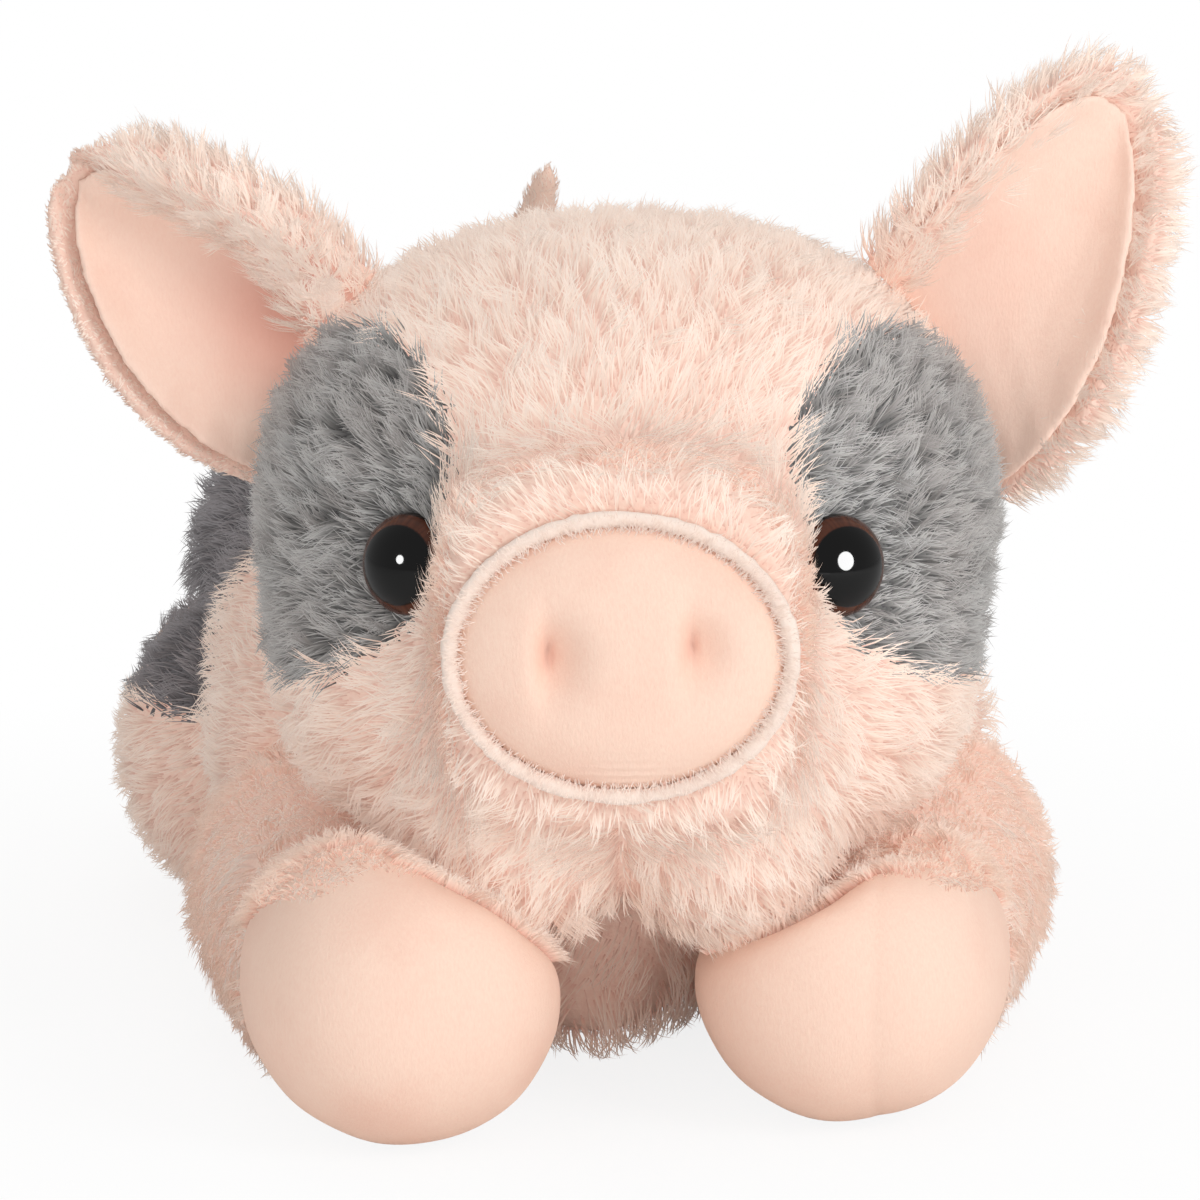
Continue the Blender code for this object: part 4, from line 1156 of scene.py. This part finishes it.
def make_ear(side, materials, lining):
    root = np.array(joint(f"ear_{side}_flop")["pos_m"])
    hinge = unit(np.array(joint(f"ear_{side}_flop")["axis"]))
    body = "ear_" + side
    inward = hinge * np.sign(hinge[2])
    upward = np.cross(head_back, inward)
    upward *= np.sign(upward[0] * (root[0] - head_middle[0]))

    def ear_places(roots):
        """How far along the ear from its root, and how far from its middle towards its upper edge."""
        offset = roots - root
        along = offset @ upward
        return along, offset @ inward - ear_slope[side] * along

    def roll_share(points):
        """One on the rolled upper edge, and zero below it."""
        along, across = ear_places(points)
        near, far = ear_roll_edge[side]
        edge = near + (far - near) * smooth_step(along, 0, ear_curl_reach) - ear_roll_slope * along
        return smooth_step(across, edge - ear_roll_ease, edge + ear_roll_ease)

    back = Form("ear_cloth_" + side, ["ear_back_" + side], thin_voxel, thin_rounds)
    front = Form("ear_velour_" + side, ["ear_lining_" + side], thin_voxel, thin_rounds)
    for form in (back, front):
        rolled = roll_share(form.points)[:, None] * ear_roll[side]
        form.move(form.points - rolled * (head_back + ear_roll_inward * inward))
    along, across = ear_places(front.points)
    # Painted shade: the lining turns deeper pink near the root, most of all on the left ear
    shade = ear_painted_shade[side] * np.exp(-(((along - ear_painted_shade_place) / ear_painted_shade_reach) ** 2))
    shade *= smooth_step(across, *ear_painted_shade_edges)
    keep_painted_shade(front.item, shade)
    finish_piece(back.item, materials["backing"], body, ["ear_back_" + side])
    finish_piece(front.item, lining, body, ["ear_lining_" + side])

    def comb(roots):
        across = ear_places(roots)[1]
        bend = np.clip(across / ear_curl_reach + ear_curl[side], -1, 1)[:, None]
        return upward + bend * inward * ear_spread

    def length(roots):
        along, across = ear_places(roots)
        low = ear_edge_length[side]
        furry = smooth_step(across, -ear_full_fur, ear_full_fur)
        furry *= smooth_step(-along, -ear_tip_far, -ear_tip_near)
        return low + (ear_fur_length - low) * furry

    def keep(roots, normals):
        """All of the back, and of the front only the rim outside the lining."""
        gaps, ways = nearest(front.tree, roots)
        return ~((gaps < lining_gap) & (np.sum(ways * normals, axis=1) > lining_facing))

    def on_roll(roots, normals):
        chance = np.random.default_rng(7).random(len(roots))
        low, more = roll_edge_shares
        return (roll_share(roots) > low + more * chance) & (normals @ head_back < roll_back_facing)

    fur = materials["fur"]
    count = ear_strands
    grow("ear_fur_" + side, back, body, fur, count, comb, length, 40 + len(side), keep)
    count = roll_strands[side]
    grow("ear_roll_fur_" + side, front, body, fur, count, comb, length, 44 + len(side), on_roll)


# Torso, legs and tail


def make_torso(head, sleeves, materials):
    nodes = ["torso_skin", "saddle_panel", "torso_filling"]
    form = Form("torso_cloth", nodes, torso_voxel, body_rounds)
    finish_piece(form.item, materials["backing"], "torso", nodes)
    grey_tree = node_tree("saddle_panel")
    pink_tree = node_tree("torso_skin")

    def grey(roots, seed):
        edge = np.random.default_rng(seed).normal(0, saddle_edge_blur, roots.shape)
        return nearest(grey_tree, roots + edge)[0] < nearest(pink_tree, roots + edge)[0] + saddle_margin

    def open_air(roots):
        gaps = nearest(head.tree, roots)[0]
        return (gaps > crowded_gap) | (np.linalg.norm(roots - head_middle, axis=1) > hidden_head_reach)

    def low_chest(roots):
        """One low down at the front, where the pile is long and hangs to the ground."""
        return smooth_step(-roots[:, 2], -chest_rise, 0) * smooth_step(-roots[:, 1], -chest_back, 0)

    def comb(roots):
        flow = np.zeros(roots.shape)
        chest = low_chest(roots)
        flow[:, 1] = 1.0 - 2.0 * chest
        flow[:, 2] = -torso_droop - chest_droop * chest
        return flow

    def length(roots):
        return fur_length + (chest_fur_length - fur_length) * low_chest(roots)

    def lit(roots, normals):
        """The fringe under the chest is lit from the front: its shading normals turn to the front and up."""
        return normals + chest_open_way * low_chest(roots)[:, None]

    across = (form.points[:, 0] - chest_bulge_x) / chest_bulge_half_width
    share = low_chest(form.points) * np.exp(-(across**2)) * smooth_step(-form.normals[:, 1], 0, chest_facing)
    points = form.points.copy()
    points[:, 1] -= chest_bulge * share
    points[:, 2] = np.maximum(points[:, 2] * (1 - chest_sink * share), floor_skin)
    form.move(points)
    patch_cloth(form, materials["saddle_backing"], lambda places: grey(places, 3))
    def pink_part(roots, normals):
        return open_air(roots) & ~grey(roots, 1)

    def grey_part(roots, normals):
        return grey(roots, 2)

    fur = materials["fur"]
    count = torso_pink_strands
    grow("torso_fur", form, "torso", fur, count, comb, length, 50, pink_part, sleeves, lit=lit)
    fur = materials["saddle"]
    count = torso_grey_strands / saddle_share
    grow("saddle_fur", form, "torso", fur, count, comb, length, 51, grey_part, sleeves)
    return form


def leg_axis(kind, side):
    """The way that a leg points, from its root joint to the middle of its hoof."""
    root = np.array(joint(f"{kind}_leg_{side}_swing")["pos_m"])
    low, high = (np.array(corner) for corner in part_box(f"{kind}_hoof_{side}"))
    way = (low + high) / 2 - root
    way[2] = 0
    return root, unit(way)


def make_sleeve(kind, side):
    nodes = [f"{kind}_leg_sleeve_{side}", f"{kind}_leg_filling_{side}"]
    return Form(f"{kind}_sleeve_cloth_{side}", nodes[:1], body_voxel, sleeve_rounds, shell=True), nodes


def dress_sleeve(kind, side, form, nodes, torso, materials, seed):
    body = f"{kind}_leg_{side}"
    finish_piece(form.item, materials["backing"], body, nodes)
    root, way = leg_axis(kind, side)
    comb = steady(way - np.array((0, 0, sleeve_droop)))
    length = even(sleeve_fur_length)
    name = f"{kind}_sleeve_fur_{side}"
    if kind == "front":
        fur = materials["sleeve"]
        grow(name, form, body, fur, front_sleeve_strands, comb, length, seed, None, [torso])
        return
    grey_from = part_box("saddle_panel")[0][2] - hip_grey_drop
    near, far = (root[1] + reach for reach in hip_grey_behind)

    def grey(roots, number):
        edge = np.random.default_rng(number).normal(0, hip_grey_blur, len(roots))
        behind = smooth_step(roots[:, 1], near, far) * hip_grey_rise
        return roots[:, 2] + edge - behind > grey_from

    def pink_part(roots, normals):
        return ~grey(roots, 1)

    def grey_part(roots, normals):
        return grey(roots, 2)

    patch_cloth(form, materials["saddle_backing"], lambda places: grey(places, 3))
    count = hind_sleeve_strands
    grow(name, form, body, materials["fur"], count, comb, length, seed, pink_part, [torso])
    name = f"{kind}_sleeve_grey_fur_{side}"
    fur = materials["saddle"]
    grow(name, form, body, fur, count, comb, length, seed + 1, grey_part, [torso])


def make_hoof(kind, side, velour, fur):
    nodes = [f"{kind}_hoof_{side}", f"{kind}_hoof_pellets_{side}"]
    form = Form(f"{kind}_hoof_velour_{side}", nodes[:1], hoof_voxel, hoof_rounds, shell=True)
    root, way = leg_axis(kind, side)
    across = np.cross((0, 0, 1), way)
    places = form.points - root
    sideways = places @ across
    forward = places @ way
    front = smooth_step(forward, *np.percentile(forward, hoof_front_percents))
    sideways -= hoof_seam_shift
    seam = np.exp(-((sideways / hoof_seam_half_width) ** 2)) * hoof_seam_depth[side]
    valley = np.exp(-((sideways / hoof_valley_half_width) ** 2)) * hoof_valley_depth[side]
    sunk = (seam + valley) * front
    form.move(form.points - form.normals * sunk[:, None])
    body = f"{kind}_leg_{side}"
    finish_piece(form.item, velour, body, nodes)
    rear = forward.min()

    comb = steady(way - np.array((0, 0, cuff_droop)))
    length = even(cuff_fur_length)

    def cuff(roots, normals):
        """The top of the hoof next to the sleeve, which the pile covers."""
        share = smooth_step(normals[:, 2], *cuff_slope)
        reach = cuff_reach_side[kind] + (cuff_reach_top[kind] - cuff_reach_side[kind]) * share
        reach += np.random.default_rng(5).normal(0, cuff_ragged, len(roots))
        return (roots - root) @ way < rear + reach

    grow(f"{kind}_cuff_fur_{side}", form, body, fur, cuff_strands, comb, length, 90, cuff)


def make_tail(pink):
    form = Form("tail_velour", ["tail"], thin_voxel, tail_rounds)
    nap = velour_material("tail_nap", velour_light, velour_deep)
    finish_piece(form.item, nap, "tail", ["tail"])
    comb = steady((0, 0, 1.0))
    length = even(tail_fur_length)
    width = tail_strand_width
    grow("tail_fur", form, "tail", pink, tail_strands, comb, length, 60, width=width)


def make_neck(pink):
    form = Form("neck_cloth", ["neck_band"], neck_voxel, neck_rounds)
    backing = cloth_material("neck_backing", pink_middle, pink_root)
    finish_piece(form.item, backing, "neck", ["neck_band"])
    middle_radius = np.linalg.norm(form.points - head_middle, axis=1).mean()

    def comb(roots):
        return unit(roots - head_middle) + neck_comb_lean

    def outside(roots, normals):
        """The outer side of the folded band."""
        return np.linalg.norm(roots - head_middle, axis=1) > middle_radius

    length = even(neck_fur_length)
    grow("neck_fur", form, "neck", pink, neck_strands, comb, length, 70, outside)


# Stage


def add_lamp(name, place, size, power, target):
    lamp = bpy.data.lights.new(name, "AREA")
    lamp.shape = "DISK"
    lamp.size = size
    lamp.energy = power
    item = link_object(name, lamp)
    item.location = place
    item.rotation_euler = (Vector(target) - Vector(place)).to_track_quat("-Z", "Y").to_euler()
    item.visible_glossy = False


def seen_directly(tree):
    """One where a ray comes from the camera or through a clear material, and zero where it only lights."""
    path = add_node(tree, "ShaderNodeLightPath")
    first = add_node(tree, "ShaderNodeMath", {"operation": "MAXIMUM"})
    tree.links.new(path.outputs["Is Camera Ray"], first.inputs[0])
    tree.links.new(path.outputs["Is Transmission Ray"], first.inputs[1])
    return first.outputs[0]


def show_instead(tree, share, lit, shown, target):
    """Blends what lights the scene with what the camera sees."""
    both = add_node(tree, "ShaderNodeMixShader", Fac=share)
    tree.links.new(lit.outputs[0], both.inputs[1])
    tree.links.new(shown.outputs[0], both.inputs[2])
    tree.links.new(both.outputs[0], target)


def make_stage():
    scene = bpy.context.scene
    scene.view_settings.view_transform = "Standard"
    world = bpy.data.worlds.new("studio")
    world.use_nodes = True
    scene.world = world
    tree = world.node_tree
    light = tree.nodes["Background"]
    light.inputs["Color"].default_value = white
    light.inputs["Strength"].default_value = world_strength
    shown = add_node(tree, "ShaderNodeBackground", Color=white, Strength=1.0)
    show_instead(tree, seen_directly(tree), light, shown, tree.nodes["World Output"].inputs["Surface"])

    shape = bmesh.new()
    bmesh.ops.create_grid(shape, x_segments=8, y_segments=8, size=floor_size / 2)
    floor = solid_piece("floor", shape)
    material, tree, shader = new_material("pale_floor", 0.9)
    shader.inputs["Base Color"].default_value = (floor_grey, floor_grey, floor_grey, 1)
    shader.inputs["Specular IOR Level"].default_value = 0.0
    place = add_node(tree, "ShaderNodeTexCoord")
    away = add_node(tree, "ShaderNodeVectorMath", {"operation": "LENGTH"}, Vector=place.outputs["Object"])
    ends = {"From_Min": floor_fade_start, "From_Max": floor_fade_end}
    fade = add_node(tree, "ShaderNodeMapRange", Value=away.outputs["Value"], **ends)
    shown = add_node(tree, "ShaderNodeEmission", Color=white, Strength=1.0)
    whiten = add_node(tree, "ShaderNodeMapRange", Value=fade.outputs[0], To_Min=floor_white_share)
    share = add_node(tree, "ShaderNodeMath", {"operation": "MULTIPLY"})
    tree.links.new(seen_directly(tree), share.inputs[0])
    tree.links.new(whiten.outputs[0], share.inputs[1])
    show_instead(tree, share.outputs[0], shader, shown, tree.nodes["Material Output"].inputs["Surface"])
    floor.data.materials.append(material)

    middle = np.mean(np.array(cad_box), axis=0)
    for name, settings in lamps.items():
        add_lamp(name, *settings, middle)
    camera = np.array(bpy.context.scene.camera.location)
    for side in sides:
        points = node_points("eye_" + side)
        centre = points.mean(axis=0)
        view = unit(camera - centre)
        facing = unit(eye_axis(points) - eye_lean * head_back)
        facing = unit(facing + catch_light_lean * view + np.array((0, 0, catch_light_rise)))
        way = 2 * facing * (facing @ view) - view
        place = centre + way * catch_light_away
        add_catch_light(f"catch_light_{side}", place, catch_light_radii[side], centre)


def add_catch_light(name, place, radius, target):
    """A bright round card that only glossy surfaces see: the white spot in an eye."""
    shape = bmesh.new()
    bmesh.ops.create_circle(shape, cap_ends=True, segments=48, radius=radius)
    card = solid_piece(name, shape)
    card.location = place
    card.rotation_euler = (Vector(target) - Vector(place)).to_track_quat("Z", "Y").to_euler()
    card.visible_camera = False
    card.visible_diffuse = False
    card.visible_shadow = False
    material, _, shader = new_material(name, 1.0)
    shader.inputs["Base Color"].default_value = (0, 0, 0, 1)
    shader.inputs["Emission Color"].default_value = white
    shader.inputs["Emission Strength"].default_value = catch_light_strength
    card.data.materials.append(material)


def add_camera():
    turn = math.radians(camera_azimuth)
    rise = math.radians(camera_elevation)
    away = Vector((math.sin(turn) * math.cos(rise), -math.cos(turn) * math.cos(rise), math.sin(rise)))
    lens = bpy.data.cameras.new("camera")
    lens.lens = camera_lens_mm
    camera = link_object("camera", lens)
    camera.location = Vector(camera_target) + away * camera_distance
    camera.rotation_euler = (-away).to_track_quat("-Z", "Y").to_euler()
    bpy.context.scene.camera = camera


def dress_inner_nodes():
    """Threads, washers and pellet bags that are still shown keep their solids and get finished surfaces."""
    thread = grained_material("sewing_thread", 0.7, twist, thread_colour, pink_middle, 0.5, 0.0002)

    def plastic(tree):
        return noise(tree, scale=1500.0, detail=2.0)

    def wool(tree):
        return noise(tree, scale=260.0, detail=6.0, roughness=0.7)

    looks = {
        "seam": thread,
        "stitch": thread,
        "washer": grained_material("washer_plastic", 0.42, plastic, washer_deep, washer_light, 0.2, 0.0001),
        "bag": grained_material("pellet_bag_cloth", 1.0, wool, fibre_deep, fibre_light, 0.8, 0.0012),
    }
    for name, item in frame["nodes"].items():
        for word, material in looks.items():
            if word in name and not item.hide_render:
                item.data.materials.clear()
                item.data.materials.append(material)


def main():
    add_camera()
    make_stage()
    head, pink = make_head()
    velour = velour_material("pink_velour", velour_light, velour_deep, with_painted_shade=True)
    materials = {
        "fur": pink,
        # The front sleeves' paler fur is painted light against their shade
        "sleeve": fur_material("sleeve_fur", sleeve_root, sleeve_middle, pink_tip, sleeve_dark_tuft),
        "backing": bpy.data.materials["pink_backing"],
        "saddle": fur_material("saddle_fur", saddle_root, saddle_middle, saddle_tip, saddle_dark_tuft),
        "saddle_backing": cloth_material("saddle_backing", saddle_middle, saddle_root),
    }
    make_snout(velour)
    lining = velour_material("ear_velour", ear_light, ear_deep, patch_scale=55.0, with_painted_shade=True)
    for side in sides:
        make_eye(side)
        make_ear(side, materials, lining)
    sleeves = {(kind, side): make_sleeve(kind, side) for kind in ("front", "hind") for side in sides}
    torso = make_torso(head, [form for form, _ in sleeves.values()], materials)
    seed = 80
    for (kind, side), (form, nodes) in sleeves.items():
        dress_sleeve(kind, side, form, nodes, torso, materials, seed)
        make_hoof(kind, side, velour, materials["saddle"] if kind == "hind" else pink)
        seed += 2
    make_tail(pink)
    make_neck(pink)
    dress_inner_nodes()


main()
